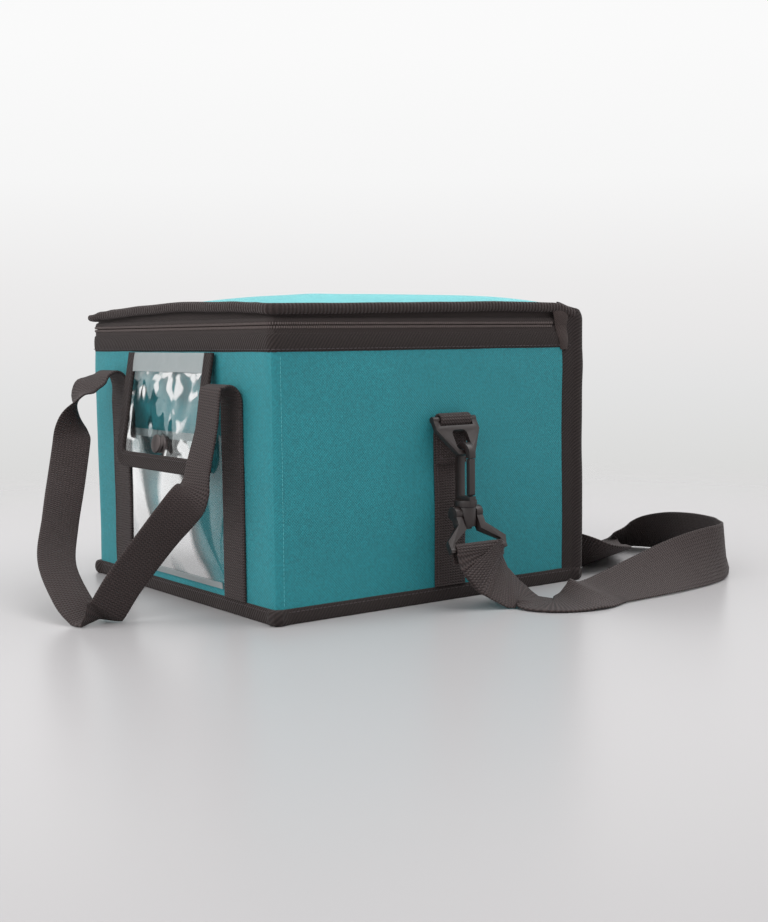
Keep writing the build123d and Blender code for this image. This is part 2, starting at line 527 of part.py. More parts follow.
yoke_plate += Pos(0, 0, -YOKE_LENGTH) * Rot(90, 0, 0) * Cylinder(
    YOKE_BAR_RADIUS, 2 * yoke_outer_half)
arm_eyes = Cylinder(YOKE_EYE_RADIUS, 2 * arm_outside) - Cylinder(
    2 * YOKE_EYE_RADIUS, 2 * YOKE_INSIDE)
yoke_plate += Rot(90, 0, 0) * arm_eyes
yoke_plate -= Rot(90, 0, 0) * Cylinder(PIN_RADIUS, 4 * arm_outside)
yoke_right = tilted(yoke_plate, HOOK_X, TRUNNION_Z, YOKE_TILT)

for name, shape in [
    ("side_webbing", anchor), ("ring", ring_right), ("hook", hook_right), ("gate", gate_right),
    ("barrel", barrel_right), ("yoke", yoke_right),
]:
    parts[name + "_right"] = shape
    parts[name + "_left"] = shape.mirror(Plane.YZ)

# Shoulder strap: a wrap round each yoke bar and the run between them, behind the bag.
FLOOR_LIFT = 0.4
wrap_radius = YOKE_BAR_RADIUS + HEM_GAP + STRAP_THICK / 2
wrap_points = [(-0.45 * wrap_radius, -3.0 * wrap_radius), (-0.95 * wrap_radius, -1.0)]
for angle in range(170, -31, -40):
    a = math.radians(angle)
    wrap_points.append((wrap_radius * math.cos(a), wrap_radius * math.sin(a)))


def leaning(x, y, lean, nx, ny, lift=FLOOR_LIFT):
    """A station whose lower edge rests at (x, y) and whose top leans toward (nx, ny)."""
    a = math.radians(lean)
    across = Vector(math.sin(a) * nx, math.sin(a) * ny, math.cos(a)).normalized()
    bottom = Vector(x, y, lift + STRAP_THICK / 2 * math.sin(a))
    middle = bottom + across * (STRAP_WIDTH / 2)
    return (tuple(middle), tuple(across))


def between_edges(bottom, top):
    """A station from two edge points."""
    a = Vector(*bottom)
    b = Vector(*top)
    return (tuple((a + b) / 2), tuple((b - a).normalized()))


strap_y = FACE_Y + STRAP_REAR_GAP
strap_stations = [((YOKE_BAR_X + dx, ANCHOR_Y, YOKE_BAR_Z + dz), (0, 1, 0))
                  for dx, dz in wrap_points]
strap_stations += [
    ((YOKE_BAR_X + wrap_radius, ANCHOR_Y, YOKE_BAR_Z - 4.5), (0, 1, 0)),
    between_edges((155.5, -9, 26), (151.5, 29, 26)),
    between_edges((159, 0, 17), (149, 37, 18)),
    between_edges((164, 10, 9), (147, 44, 14)),
    between_edges((170, 17, 5), (151, 50, 6)),
    between_edges((178, 24, 2.5), (153, 53, 2.5)),
    between_edges((187, 31, 1.5), (158, 56, 1.6)),
    leaning(196, 42, 87, -0.94, 0.34),
    leaning(202, 60, 85, -1, 0.1),
    leaning(203.5, 84, 77, -1, 0),
    leaning(203, 108, 67, -1, 0),
    leaning(202, 132, 54, -1, 0),
    leaning(199, 156, 40, -0.99, -0.12),
    leaning(195, 178, 24, -0.97, -0.22),
    leaning(188, 198, 8, -0.9, -0.4),
    leaning(181, 210, 5, -0.85, -0.5),
    leaning(171, 224, 11, -0.83, -0.56),
    leaning(154, 243, 17, -0.59, -0.81),
    leaning(125, 258, 22, -0.39, -0.92),
    leaning(96, 267, 30, -0.19, -0.98),
    leaning(70, 270, 42, 0.06, -1),
    leaning(50, 264, 53, 0.45, -0.89),
    leaning(37, 252, 62, 0.75, -0.66),
    leaning(25, 232, 70, 0.99, -0.15),
    leaning(31, 206, 75, 0.81, 0.58),
    leaning(56, 184, 76, 0.56, 0.83),
    leaning(76, 171, 72, 0.46, 0.89),
    leaning(91, 162, 62, 0.3, 0.95, 5 * FLOOR_LIFT),
    leaning(98, 152, 48, 0.6, 0.8, 8 * FLOOR_LIFT),
    leaning(94, 142, 20, 0.6, 0.6, 5 * FLOOR_LIFT),
    leaning(82, 137, 5, 0, 1, 0.4 * STRAP_REAR_LIFT),
    leaning(64, strap_y, 0, 0, -1, STRAP_REAR_LIFT),
    leaning(-85, strap_y, 0, 0, -1, STRAP_REAR_LIFT),
    leaning(-106, 134, 2, 0, -1, 0.4 * STRAP_REAR_LIFT),
    leaning(-122, 136, 4, -0.4, -0.9),
    leaning(-134, 129, 8, 0.6, -0.8),
    leaning(-143, 110, 20, 1, -0.1),
    leaning(-152, 88, 38, 1, 0),
    leaning(-161, 66, 58, 1, 0.1),
    between_edges((-169, 46, 3.8), (-139, 62, 13)),
    between_edges((-170, 26, 5), (-145, 51, 13)),
    between_edges((-165, 10, 9), (-147, 43, 14)),
    between_edges((-159, 0, 17), (-149, 37, 18)),
    between_edges((-155.5, -9, 26), (-151.5, 29, 26)),
    ((-YOKE_BAR_X - wrap_radius, ANCHOR_Y, YOKE_BAR_Z - 4.5), (0, 1, 0)),
]
strap_stations += [((-YOKE_BAR_X - dx, ANCHOR_Y, YOKE_BAR_Z + dz), (0, 1, 0))
                   for dx, dz in reversed(wrap_points)]
parts["shoulder_strap"] = ribbon(strap_stations, STRAP_WIDTH, STRAP_THICK)

# Strap adjuster: two end bars in front of the strap, one middle bar behind it
low = STRAP_REAR_LIFT + FLOOR_LIFT - HEM_GAP
rail_low = low - 3.0
rail_high = low + STRAP_WIDTH + 2 * HEM_GAP + 3.0
strap_side = STRAP_THICK / 2 + HEM_GAP
x0 = ADJUSTER_X - ADJUSTER_LENGTH / 2
x1 = ADJUSTER_X + ADJUSTER_LENGTH / 2
frame_y0 = strap_y - strap_side - ADJUSTER_THICK
frame_y1 = strap_y + strap_side + ADJUSTER_THICK
adjuster = block(x0, x1, frame_y0, frame_y1, rail_low, rail_low + 2.8)
adjuster += block(x0, x1, frame_y0, frame_y1, rail_high - 2.8, rail_high)
for end in (x0, x1 - ADJUSTER_BAR):
    adjuster += block(end, end + ADJUSTER_BAR, strap_y + strap_side, frame_y1,
                      rail_low, rail_high)
adjuster += block(ADJUSTER_X - ADJUSTER_BAR / 2, ADJUSTER_X + ADJUSTER_BAR / 2,
                  frame_y0, strap_y - strap_side, rail_low, rail_high)
parts["strap_adjuster"] = adjuster

os.makedirs("parts", exist_ok=True)
for name, shape in parts.items():
    shape.label = name
    export_step(shape, "parts/" + name + ".step")
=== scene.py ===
import json
import math

import bpy
from mathutils import Matrix, Vector, noise

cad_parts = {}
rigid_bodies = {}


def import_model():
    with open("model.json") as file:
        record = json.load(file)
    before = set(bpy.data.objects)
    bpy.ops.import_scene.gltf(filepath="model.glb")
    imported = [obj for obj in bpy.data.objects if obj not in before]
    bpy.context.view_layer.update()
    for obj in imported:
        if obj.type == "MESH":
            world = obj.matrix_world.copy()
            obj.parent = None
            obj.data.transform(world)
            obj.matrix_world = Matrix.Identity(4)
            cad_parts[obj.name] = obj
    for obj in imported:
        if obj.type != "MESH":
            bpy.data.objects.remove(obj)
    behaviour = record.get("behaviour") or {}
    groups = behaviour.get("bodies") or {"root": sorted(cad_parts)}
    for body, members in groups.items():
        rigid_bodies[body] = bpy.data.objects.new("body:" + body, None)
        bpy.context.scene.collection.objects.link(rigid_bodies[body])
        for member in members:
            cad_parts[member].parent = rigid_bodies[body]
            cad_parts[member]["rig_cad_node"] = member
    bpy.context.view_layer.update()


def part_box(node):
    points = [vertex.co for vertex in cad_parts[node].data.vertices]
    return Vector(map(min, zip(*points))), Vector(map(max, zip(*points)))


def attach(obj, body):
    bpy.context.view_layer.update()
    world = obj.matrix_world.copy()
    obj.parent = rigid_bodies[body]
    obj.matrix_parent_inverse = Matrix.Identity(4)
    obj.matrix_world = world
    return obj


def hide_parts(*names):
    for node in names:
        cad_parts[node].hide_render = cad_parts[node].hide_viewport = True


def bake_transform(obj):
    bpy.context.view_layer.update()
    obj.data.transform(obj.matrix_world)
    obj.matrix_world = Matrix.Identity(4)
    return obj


bl_info = {
    "name": "Insulated specimen bag",
    "version": (1, 0, 0),
    "blender": (4, 5, 0),
    "location": "View3D > Sidebar > Specimen bag",
    "description": "Builds a soft insulated specimen bag around its packed frame",
    "category": "Object",
}

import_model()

MM = 0.001
WRAP_LOW, WRAP_HIGH = (Vector(c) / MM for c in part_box("outer_wrap"))
BAND_LOW, BAND_HIGH = (Vector(c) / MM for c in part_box("body_band"))
HALF_X = WRAP_HIGH.x                    # the cloth's outside, half the width
HALF_Y = -WRAP_LOW.y                    # and half the depth
BAND_BOTTOM = BAND_LOW.z
BAND_TOP = BAND_HIGH.z
ZIP_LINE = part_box("upper_zip_coil")[0][2] / MM - 0.15
CORNER = 4.5                            # the cloth's corner radius
ANCHOR_Y = 8.0
WEB_WIDTH = 25.0
WEB_THICK = 1.8
STRAP_WIDTH = 38.0
STRAP_THICK = 1.5


class SpecimenBagSizes(bpy.types.PropertyGroup):
    """Sizes that a maker would change."""

    thread_pitch: bpy.props.FloatProperty(
        name="Thread pitch", description="Distance between threads of the nylon cloth",
        default=0.0009, unit="LENGTH")
    stitch_length: bpy.props.FloatProperty(
        name="Stitch length", description="Length of one visible stitch",
        default=0.0032, unit="LENGTH")
    zip_pitch: bpy.props.FloatProperty(
        name="Zip pitch", description="Distance between turns of the zip's coil",
        default=0.0016, unit="LENGTH")
    rib_pitch: bpy.props.FloatProperty(
        name="Webbing rib pitch", description="Distance between the webbing's ribs",
        default=0.0017, unit="LENGTH")
    lid_crown: bpy.props.FloatProperty(
        name="Lid crown", description="Height of the lid's middle above its edge",
        default=0.0072, unit="LENGTH")


class SpecimenBagColours(bpy.types.PropertyGroup):
    """Colours as sRGB hex values."""

    cloth: bpy.props.StringProperty(
        name="Cloth", description="Dyed nylon of the body and lid", default="#167c85")
    trim: bpy.props.StringProperty(
        name="Trim", description="Binding tape and zip tape", default="#2c2524")
    webbing: bpy.props.StringProperty(
        name="Webbing", description="Handles, anchors and strap", default="#342a29")
    plastic: bpy.props.StringProperty(
        name="Plastic", description="Clips, rings and adjuster", default="#241c1b")
    lining: bpy.props.StringProperty(
        name="Lining", description="Inside lining", default="#c9ced2")


def linear(hex_colour):
    """An sRGB hex colour as linear RGBA."""
    values = [int(hex_colour[i:i + 2], 16) / 255 for i in (1, 3, 5)]
    out = [v / 12.92 if v <= 0.04045 else ((v + 0.055) / 1.055) ** 2.4 for v in values]
    return (*out, 1.0)


def add_node(tree, kind, settings=None, links=None):
    """Add a node, set its sockets or properties by name, and link its inputs."""
    node = tree.nodes.new(kind)
    for name, value in (settings or {}).items():
        if isinstance(name, int) or name in node.inputs:
            node.inputs[name].default_value = value
        else:
            setattr(node, name, value)
    for name, source in (links or {}).items():
        tree.links.new(source, node.inputs[name])
    return node


def new_material(name):
    """An empty node material with its output node."""
    material = bpy.data.materials.new(name)
    material.use_nodes = True
    tree = material.node_tree
    tree.nodes.clear()
    output = add_node(tree, "ShaderNodeOutputMaterial")
    return material, tree, output


def scaled_uv(tree, pitch_across, pitch_along, turn=0.0):
    """The piece's UV map, which is in metres, counted in threads or ribs."""
    uv = add_node(tree, "ShaderNodeUVMap")
    turned = add_node(tree, "ShaderNodeMapping", {"Rotation": (0, 0, turn)},
                      {"Vector": uv.outputs["UV"]})
    return add_node(tree, "ShaderNodeMapping",
                    {"Scale": (1 / pitch_across, 1 / pitch_along, 1)},
                    {"Vector": turned.outputs["Vector"]}).outputs["Vector"]


def nylon_cloth(name, colour, pitch, sheen):
    """Plain-woven nylon: a fine over-and-under grain, a soft edge sheen, faint creases."""
    material, tree, output = new_material(name)
    threads = scaled_uv(tree, pitch, pitch)
    split = add_node(tree, "ShaderNodeSeparateXYZ", links={"Vector": threads})
    warp = add_node(tree, "ShaderNodeMath", {"operation": "MULTIPLY", 1: math.pi},
                    {0: split.outputs["X"]})
    weft = add_node(tree, "ShaderNodeMath", {"operation": "MULTIPLY", 1: math.pi},
                    {0: split.outputs["Y"]})
    warp_wave = add_node(tree, "ShaderNodeMath", {"operation": "SINE"}, {0: warp.outputs[0]})
    weft_wave = add_node(tree, "ShaderNodeMath", {"operation": "SINE"}, {0: weft.outputs[0]})
    weave = add_node(tree, "ShaderNodeMath", {"operation": "MULTIPLY"},
                     {0: warp_wave.outputs[0], 1: weft_wave.outputs[0]})
    place = add_node(tree, "ShaderNodeTexCoord")
    crease = add_node(tree, "ShaderNodeTexNoise", {"Scale": 26.0, "Detail": 3.0},
                      {"Vector": place.outputs["Object"]})
    slub = add_node(tree, "ShaderNodeTexNoise", {"Scale": 620.0, "Detail": 3.0},
                    {"Vector": place.outputs["Object"]})
    tone = add_node(tree, "ShaderNodeMath", {"operation": "MULTIPLY_ADD", 1: 0.7, 2: 0.62},
                    {0: slub.outputs["Fac"]})
    # Painted shade in the folds: the colour drops to 0.86 of the cloth's where the fold noise is low.
    # The same noise raises the fold bump.
    dark = [c * 0.86 for c in linear(colour)[:3]]
    mixed = add_node(tree, "ShaderNodeMix", {"data_type": "RGBA"},
                     {"Factor": crease.outputs["Fac"]})
    mixed.inputs["A"].default_value = (*dark, 1)
    mixed.inputs["B"].default_value = linear(colour)
    shaded = add_node(tree, "ShaderNodeMix", {"data_type": "RGBA", "blend_type": "MULTIPLY"},
                      {"A": mixed.outputs["Result"], "B": tone.outputs[0]})
    shaded.inputs["Factor"].default_value = 1.0
    grain = add_node(tree, "ShaderNodeBump", {"Strength": 0.35, "Distance": 0.0004},
                     {"Height": weave.outputs[0]})
    folds = add_node(tree, "ShaderNodeBump", {"Strength": 0.25, "Distance": 0.004},
                     {"Height": crease.outputs["Fac"], "Normal": grain.outputs["Normal"]})
    shader = add_node(tree, "ShaderNodeBsdfPrincipled",
                      {"Roughness": 0.72, "Sheen Weight": sheen, "Sheen Roughness": 0.35,
                       "Sheen Tint": (0.45, 0.93, 0.95, 1)},
                      {"Base Color": shaded.outputs["Result"], "Normal": folds.outputs["Normal"]})
    tree.links.new(shader.outputs["BSDF"], output.inputs["Surface"])
    return material


def twill_tape(name, colour, pitch, depth=0.5, slant=math.radians(45)):
    """Twill binding tape: diagonal ribs, matt, with light catching the rib tops."""
    material, tree, output = new_material(name)
    ribs = scaled_uv(tree, pitch, pitch, turn=slant)
    split = add_node(tree, "ShaderNodeSeparateXYZ", links={"Vector": ribs})
    wave = add_node(tree, "ShaderNodeMath", {"operation": "MULTIPLY", 1: 2 * math.pi},
                    {0: split.outputs["X"]})
    ridge = add_node(tree, "ShaderNodeMath", {"operation": "SINE"}, {0: wave.outputs[0]})
    place = add_node(tree, "ShaderNodeTexCoord")
    fuzz = add_node(tree, "ShaderNodeTexNoise", {"Scale": 1100.0, "Detail": 2.0},
                    {"Vector": place.outputs["Object"]})
    height = add_node(tree, "ShaderNodeMath", {"operation": "MULTIPLY_ADD", 1: 0.7},
                      {0: ridge.outputs[0], 2: fuzz.outputs["Fac"]})
    level = add_node(tree, "ShaderNodeMapRange",
                     {"From Min": -0.5, "From Max": 1.5, "To Min": 0.0, "To Max": 1.0},
                     {"Value": height.outputs[0]})
    # Painted light: the tape is painted up to 1.25 times lighter on the rib tops and down to 0.55
    # times darker between the ribs.
    mixed = add_node(tree, "ShaderNodeMix", {"data_type": "RGBA"},
                     {"Factor": level.outputs["Result"]})
    mixed.inputs["A"].default_value = (*[c * 0.55 for c in linear(colour)[:3]], 1)
    mixed.inputs["B"].default_value = (*[c * 1.25 for c in linear(colour)[:3]], 1)
    bump = add_node(tree, "ShaderNodeBump", {"Strength": depth, "Distance": 0.0006},
                    {"Height": height.outputs[0]})
    shader = add_node(tree, "ShaderNodeBsdfPrincipled",
                      {"Roughness": 0.85, "Sheen Weight": 0.08, "Sheen Roughness": 0.4,
                       "Sheen Tint": (0.9, 0.85, 0.85, 1), "Specular IOR Level": 0.25},
                      {"Base Color": mixed.outputs["Result"], "Normal": bump.outputs["Normal"]})
    tree.links.new(shader.outputs["BSDF"], output.inputs["Surface"])
    return material


def ribbed_webbing(name, colour, rib, warp_pitch):
    """Polypropylene webbing: heavy weft ribs across it, broken into warp columns."""
    material, tree, output = new_material(name)
    threads = scaled_uv(tree, warp_pitch, rib)
    split = add_node(tree, "ShaderNodeSeparateXYZ", links={"Vector": threads})
    across = add_node(tree, "ShaderNodeMath", {"operation": "MULTIPLY", 1: 2 * math.pi},
                      {0: split.outputs["X"]})
    column = add_node(tree, "ShaderNodeMath", {"operation": "SINE"}, {0: across.outputs[0]})
    shifted = add_node(tree, "ShaderNodeMath", {"operation": "MULTIPLY_ADD", 1: 0.16},
                       {0: column.outputs[0], 2: split.outputs["Y"]})
    along = add_node(tree, "ShaderNodeMath", {"operation": "MULTIPLY", 1: 2 * math.pi},
                     {0: shifted.outputs[0]})
    rib_wave = add_node(tree, "ShaderNodeMath", {"operation": "SINE"}, {0: along.outputs[0]})
    height = add_node(tree, "ShaderNodeMath", {"operation": "MULTIPLY_ADD", 1: 0.3},
                      {0: column.outputs[0], 2: rib_wave.outputs[0]})
    level = add_node(tree, "ShaderNodeMapRange",
                     {"From Min": -1.3, "From Max": 1.3, "To Min": 0.0, "To Max": 1.0},
                     {"Value": height.outputs[0]})
    # Painted light: the webbing is painted up to 1.35 times lighter on the raised ribs and columns
    # and down to 0.5 times darker between them.
    mixed = add_node(tree, "ShaderNodeMix", {"data_type": "RGBA"},
                     {"Factor": level.outputs["Result"]})
    mixed.inputs["A"].default_value = (*[c * 0.5 for c in linear(colour)[:3]], 1)
    mixed.inputs["B"].default_value = (*[c * 1.35 for c in linear(colour)[:3]], 1)
    bump = add_node(tree, "ShaderNodeBump", {"Strength": 0.6, "Distance": 0.0006},
                    {"Height": height.outputs[0]})
    shader = add_node(tree, "ShaderNodeBsdfPrincipled",
                      {"Roughness": 0.7, "Sheen Weight": 0.06, "Sheen Roughness": 0.4,
                       "Sheen Tint": (0.95, 0.9, 0.9, 1), "Specular IOR Level": 0.35},
                      {"Base Color": mixed.outputs["Result"], "Normal": bump.outputs["Normal"]})
    tree.links.new(shader.outputs["BSDF"], output.inputs["Surface"])
    return material


def moulded_plastic(name, colour, roughness, grain):
    """Moulded acetal or nylon: nearly black, satin, with a faint spark-eroded grain."""
    material, tree, output = new_material(name)
    place = add_node(tree, "ShaderNodeTexCoord")
    pits = add_node(tree, "ShaderNodeTexNoise", {"Scale": grain, "Detail": 2.0},
                    {"Vector": place.outputs["Object"]})
    shade = add_node(tree, "ShaderNodeMapRange", {"To Min": roughness - 0.06,
                                                   "To Max": roughness + 0.08},
                     {"Value": pits.outputs["Fac"]})
    bump = add_node(tree, "ShaderNodeBump", {"Strength": 0.12, "Distance": 0.0003},
                    {"Height": pits.outputs["Fac"]})
    mixed = add_node(tree, "ShaderNodeMix", {"data_type": "RGBA"},
                     {"Factor": pits.outputs["Fac"]})
    mixed.inputs["A"].default_value = (*[c * 0.8 for c in linear(colour)[:3]], 1)
    mixed.inputs["B"].default_value = (*[c * 1.2 for c in linear(colour)[:3]], 1)
    shader = add_node(tree, "ShaderNodeBsdfPrincipled", {"IOR": 1.48},
                      {"Base Color": mixed.outputs["Result"],
                       "Roughness": shade.outputs["Result"], "Normal": bump.outputs["Normal"]})
    tree.links.new(shader.outputs["BSDF"], output.inputs["Surface"])
    return material


def dark_metal(name, colour, roughness):
    """Black-nickel plated brass: dark, smooth, with rubbed patches."""
    material, tree, output = new_material(name)
    place = add_node(tree, "ShaderNodeTexCoord")
    rub = add_node(tree, "ShaderNodeTexNoise", {"Scale": 350.0, "Detail": 3.0},
                   {"Vector": place.outputs["Object"]})
    shade = add_node(tree, "ShaderNodeMapRange", {"To Min": roughness - 0.1,
                                                   "To Max": roughness + 0.12},
                     {"Value": rub.outputs["Fac"]})
    shader = add_node(tree, "ShaderNodeBsdfPrincipled",
                      {"Base Color": linear(colour), "Metallic": 0.9},
                      {"Roughness": shade.outputs["Result"]})
    tree.links.new(shader.outputs["BSDF"], output.inputs["Surface"])
    return material


def clear_vinyl(name, roughness, haze, crease, low, high, lean=0.0):
    """Clear soft PVC: see-through, with sharp-edged patches where its creases mirror light."""
    material, tree, output = new_material(name)
    place = add_node(tree, "ShaderNodeTexCoord")
    smear = add_node(tree, "ShaderNodeTexNoise", {"Scale": 30.0, "Detail": 2.0},
                     {"Vector": place.outputs["Object"]})
    axes = add_node(tree, "ShaderNodeSeparateXYZ", links={"Vector": place.outputs["Object"]})
    # Painted reflections: a banded noise, shifted across by lean, marks patches that turn into
    # mirror. They stand in for creases catching the light.
    fold = add_node(tree, "ShaderNodeTexNoise",
                    {"Scale": crease, "Detail": 1.0, "Distortion": 1.4},
                    {"Vector": place.outputs["Object"]})
    swept = add_node(tree, "ShaderNodeMath", {"operation": "MULTIPLY_ADD", 1: -lean},
                     {0: axes.outputs["X"], 2: fold.outputs["Fac"]})
    glint = add_node(tree, "ShaderNodeMapRange",
                     {"From Min": low, "From Max": high, "To Min": 0.0, "To Max": 1.0},
                     {"Value": swept.outputs[0]})
    through = add_node(tree, "ShaderNodeBsdfTransparent", {"Color": (0.94, 0.965, 0.965, 1)})
    mirror = add_node(tree, "ShaderNodeBsdfGlossy",
                      {"Color": (0.97, 0.98, 0.98, 1), "Roughness": roughness})
    facing = add_node(tree, "ShaderNodeLayerWeight", {"Blend": 0.5})
    edge = add_node(tree, "ShaderNodeMath", {"operation": "POWER", 1: 4.0},
                    {0: facing.outputs["Facing"]})
    cloud = add_node(tree, "ShaderNodeMath", {"operation": "MULTIPLY", 1: haze},
                     {0: smear.outputs["Fac"]})
    # The painted reflection patches and the haze add to the mirror share, on top of the facing edge.
    bright = add_node(tree, "ShaderNodeMath", {"operation": "MULTIPLY_ADD", 1: 0.72},
                      {0: glint.outputs["Result"], 2: cloud.outputs[0]})
    amount = add_node(tree, "ShaderNodeMath", {"operation": "MULTIPLY_ADD", 1: 1.1},
                      {0: edge.outputs[0], 2: bright.outputs[0]})
    limit = add_node(tree, "ShaderNodeClamp", links={"Value": amount.outputs[0]})
    mixed = add_node(tree, "ShaderNodeMixShader", links={"Fac": limit.outputs["Result"],
                                                         1: through.outputs["BSDF"],
                                                         2: mirror.outputs["BSDF"]})
    tree.links.new(mixed.outputs["Shader"], output.inputs["Surface"])
    return material


def matt_vinyl(name):
    """Clear PVC where it is folded double: milky grey and half see-through."""
    material, tree, output = new_material(name)
    place = add_node(tree, "ShaderNodeTexCoord")
    cloud = add_node(tree, "ShaderNodeTexNoise", {"Scale": 90.0, "Detail": 2.0},
                     {"Vector": place.outputs["Object"]})
    bump = add_node(tree, "ShaderNodeBump", {"Strength": 0.3, "Distance": 0.002},
                    {"Height": cloud.outputs["Fac"]})
    through = add_node(tree, "ShaderNodeBsdfTransparent", {"Color": (0.85, 0.88, 0.88, 1)})
    milk = add_node(tree, "ShaderNodeBsdfPrincipled",
                    {"Base Color": linear("#a9b0b1"), "Roughness": 0.3},
                    {"Normal": bump.outputs["Normal"]})
    mixed = add_node(tree, "ShaderNodeMixShader", {"Fac": 0.55},
                     {1: through.outputs["BSDF"], 2: milk.outputs["BSDF"]})
    tree.links.new(mixed.outputs["Shader"], output.inputs["Surface"])
    return material


def foil_lining(name, colour):
    """Laminated foil lining: pale, half-bright, with small heat-set creases."""
    material, tree, output = new_material(name)
    place = add_node(tree, "ShaderNodeTexCoord")
    creases = add_node(tree, "ShaderNodeTexVoronoi", {"Scale": 60.0, "feature": "F2"},
                       {"Vector": place.outputs["Object"]})
    bump = add_node(tree, "ShaderNodeBump", {"Strength": 0.35, "Distance": 0.0015},
                    {"Height": creases.outputs["Distance"]})
    shader = add_node(tree, "ShaderNodeBsdfPrincipled",
                      {"Base Color": linear(colour), "Metallic": 0.55, "Roughness": 0.38},
                      {"Normal": bump.outputs["Normal"]})
    tree.links.new(shader.outputs["BSDF"], output.inputs["Surface"])
    return material


def cell_foam(name):
    """Closed-cell polyethylene foam: off-white, matt, finely pitted."""
    material, tree, output = new_material(name)
    place = add_node(tree, "ShaderNodeTexCoord")
    cells = add_node(tree, "ShaderNodeTexVoronoi", {"Scale": 700.0},
                     {"Vector": place.outputs["Object"]})
    bump = add_node(tree, "ShaderNodeBump", {"Strength": 0.4, "Distance": 0.0004},
                    {"Height": cells.outputs["Distance"]})
    shader = add_node(tree, "ShaderNodeBsdfPrincipled",
                      {"Base Color": linear("#e8e6df"), "Roughness": 0.85},
                      {"Normal": bump.outputs["Normal"]})
    tree.links.new(shader.outputs["BSDF"], output.inputs["Surface"])
    return material


def settings():
    return bpy.context.scene.specimen_bag_sizes, bpy.context.scene.specimen_bag_colours


def finish_of(name):
    """A finish by its name, made the first time it is asked for."""
    if name in bpy.data.materials:
        return bpy.data.materials[name]
    sizes, colours = settings()
    makers = {
        "nylon_body": lambda: nylon_cloth(name, colours.cloth, sizes.thread_pitch, 0.35),
        # The lid's cloth is painted lighter than the body's: a painted highlight for the light
        # falling on its top. It also gets full sheen.
        "nylon_lid_painted_light": lambda: nylon_cloth(name, "#3c9ea5", sizes.thread_pitch, 1.0),
        "twill_binding": lambda: twill_tape(name, colours.trim, 0.0017),
        "twill_roll": lambda: twill_tape(name, "#332a29", 0.0027, 1.0, 0.0),
        "tab_twill": lambda: twill_tape(name, "#3f3533", 0.0014, 0.5),
        "zip_tape": lambda: twill_tape(name, "#332c2b", 0.0012, 0.3),
        "webbing": lambda: ribbed_webbing(name, colours.webbing, sizes.rib_pitch, 0.0021),
        "strap_webbing": lambda: ribbed_webbing(name, colours.webbing, sizes.rib_pitch, 0.0024),
        "sewing_thread": lambda: moulded_plastic(name, "#40383a", 0.7, 900.0),
        "teal_thread": lambda: moulded_plastic(name, "#4ea3aa", 0.7, 900.0),
        "acetal": lambda: moulded_plastic(name, colours.plastic, 0.42, 600.0),
        "nylon_coil": lambda: moulded_plastic(name, "#5a504e", 0.4, 900.0),
        "black_nickel": lambda: dark_metal(name, "#5a5352", 0.34),
        # The vinyls' crease, low, high and lean values size and place their painted reflection
        # patches.
        "pocket_vinyl": lambda: clear_vinyl(name, 0.12, 0.10, 9.0, 0.50, 0.56, 2.6),
        "flap_vinyl": lambda: clear_vinyl(name, 0.06, 0.06, 42.0, 0.53, 0.60),
        "hem_vinyl": lambda: matt_vinyl(name),
        "foil": lambda: foil_lining(name, colours.lining),
        "foam": lambda: cell_foam(name),
        "base_cloth": lambda: twill_tape(name, "#242021", 0.0012, 0.4),
        "board": lambda: moulded_plastic(name, "#b9b6ab", 0.6, 300.0),
    }
    return makers[name]()


# Making meshes

def deselect_all():
    if bpy.context.mode != "OBJECT":
        bpy.ops.object.mode_set(mode="OBJECT")
    bpy.ops.object.select_all(action="DESELECT")


def make_active(piece):
    deselect_all()
    piece.select_set(True)
    bpy.context.view_layer.objects.active = piece


def grid_piece(name, across, along, place, spread=None, joined=False):
    """A grid primitive moved point by point to place(u, v), with its UV map in metres."""
    deselect_all()
    bpy.ops.mesh.primitive_grid_add(x_subdivisions=across, y_subdivisions=along, size=1)
    piece = bpy.context.object
    piece.name = name
    piece.data.name = name
    mesh = piece.data
    params = [(v.co.x + 0.5, v.co.y + 0.5) for v in mesh.vertices]
    for vertex, (u, v) in zip(mesh.vertices, params):
        vertex.co = Vector(place(u, v)) * MM
    spread = spread or (lambda u, v: (u, v))
    uv_layer = mesh.uv_layers[0]
    for loop in mesh.loops:
        u, v = params[loop.vertex_index]
        a, b = spread(u, v)
        uv_layer.data[loop.index].uv = (a * MM, b * MM)
    if joined:
        make_active(piece)
        bpy.ops.object.mode_set(mode="EDIT")
        bpy.ops.mesh.select_all(action="SELECT")
        bpy.ops.mesh.remove_doubles(threshold=0.00002)
        bpy.ops.object.mode_set(mode="OBJECT")
    return piece


def apply_modifier(piece, kind, **values):
    make_active(piece)
    modifier = piece.modifiers.new(kind.title(), kind)
    for name, value in values.items():
        setattr(modifier, name, value)
    bpy.ops.object.modifier_apply(modifier=modifier.name)


def thicken(piece, thickness, offset=-1.0):
    """Give an open sheet its thickness, grown to the inside by default."""
    apply_modifier(piece, "SOLIDIFY", thickness=thickness * MM, offset=offset,
                   use_even_offset=False)


def face_out(piece, outward):
    """Turn the faces so they look along outward(centre)."""
    total = 0.0
    for polygon in piece.data.polygons:
        total += polygon.area * polygon.normal.dot(outward(polygon.center))
    if total < 0:
        make_active(piece)
        bpy.ops.object.mode_set(mode="EDIT")
        bpy.ops.mesh.select_all(action="SELECT")
        bpy.ops.mesh.flip_normals()
        bpy.ops.object.mode_set(mode="OBJECT")


def finish_piece(piece, material, body=None, stands_for=(), smooth=40):
    """Last step for a piece: shading, finish, the body it rides on, the nodes it stands for."""
    make_active(piece)
    if smooth:
        bpy.ops.object.shade_smooth_by_angle(angle=math.radians(smooth))
    piece.data.materials.clear()
    piece.data.materials.append(finish_of(material))
    if body:
        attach(piece, body)
    if stands_for:
        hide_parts(*stands_for)
    return piece


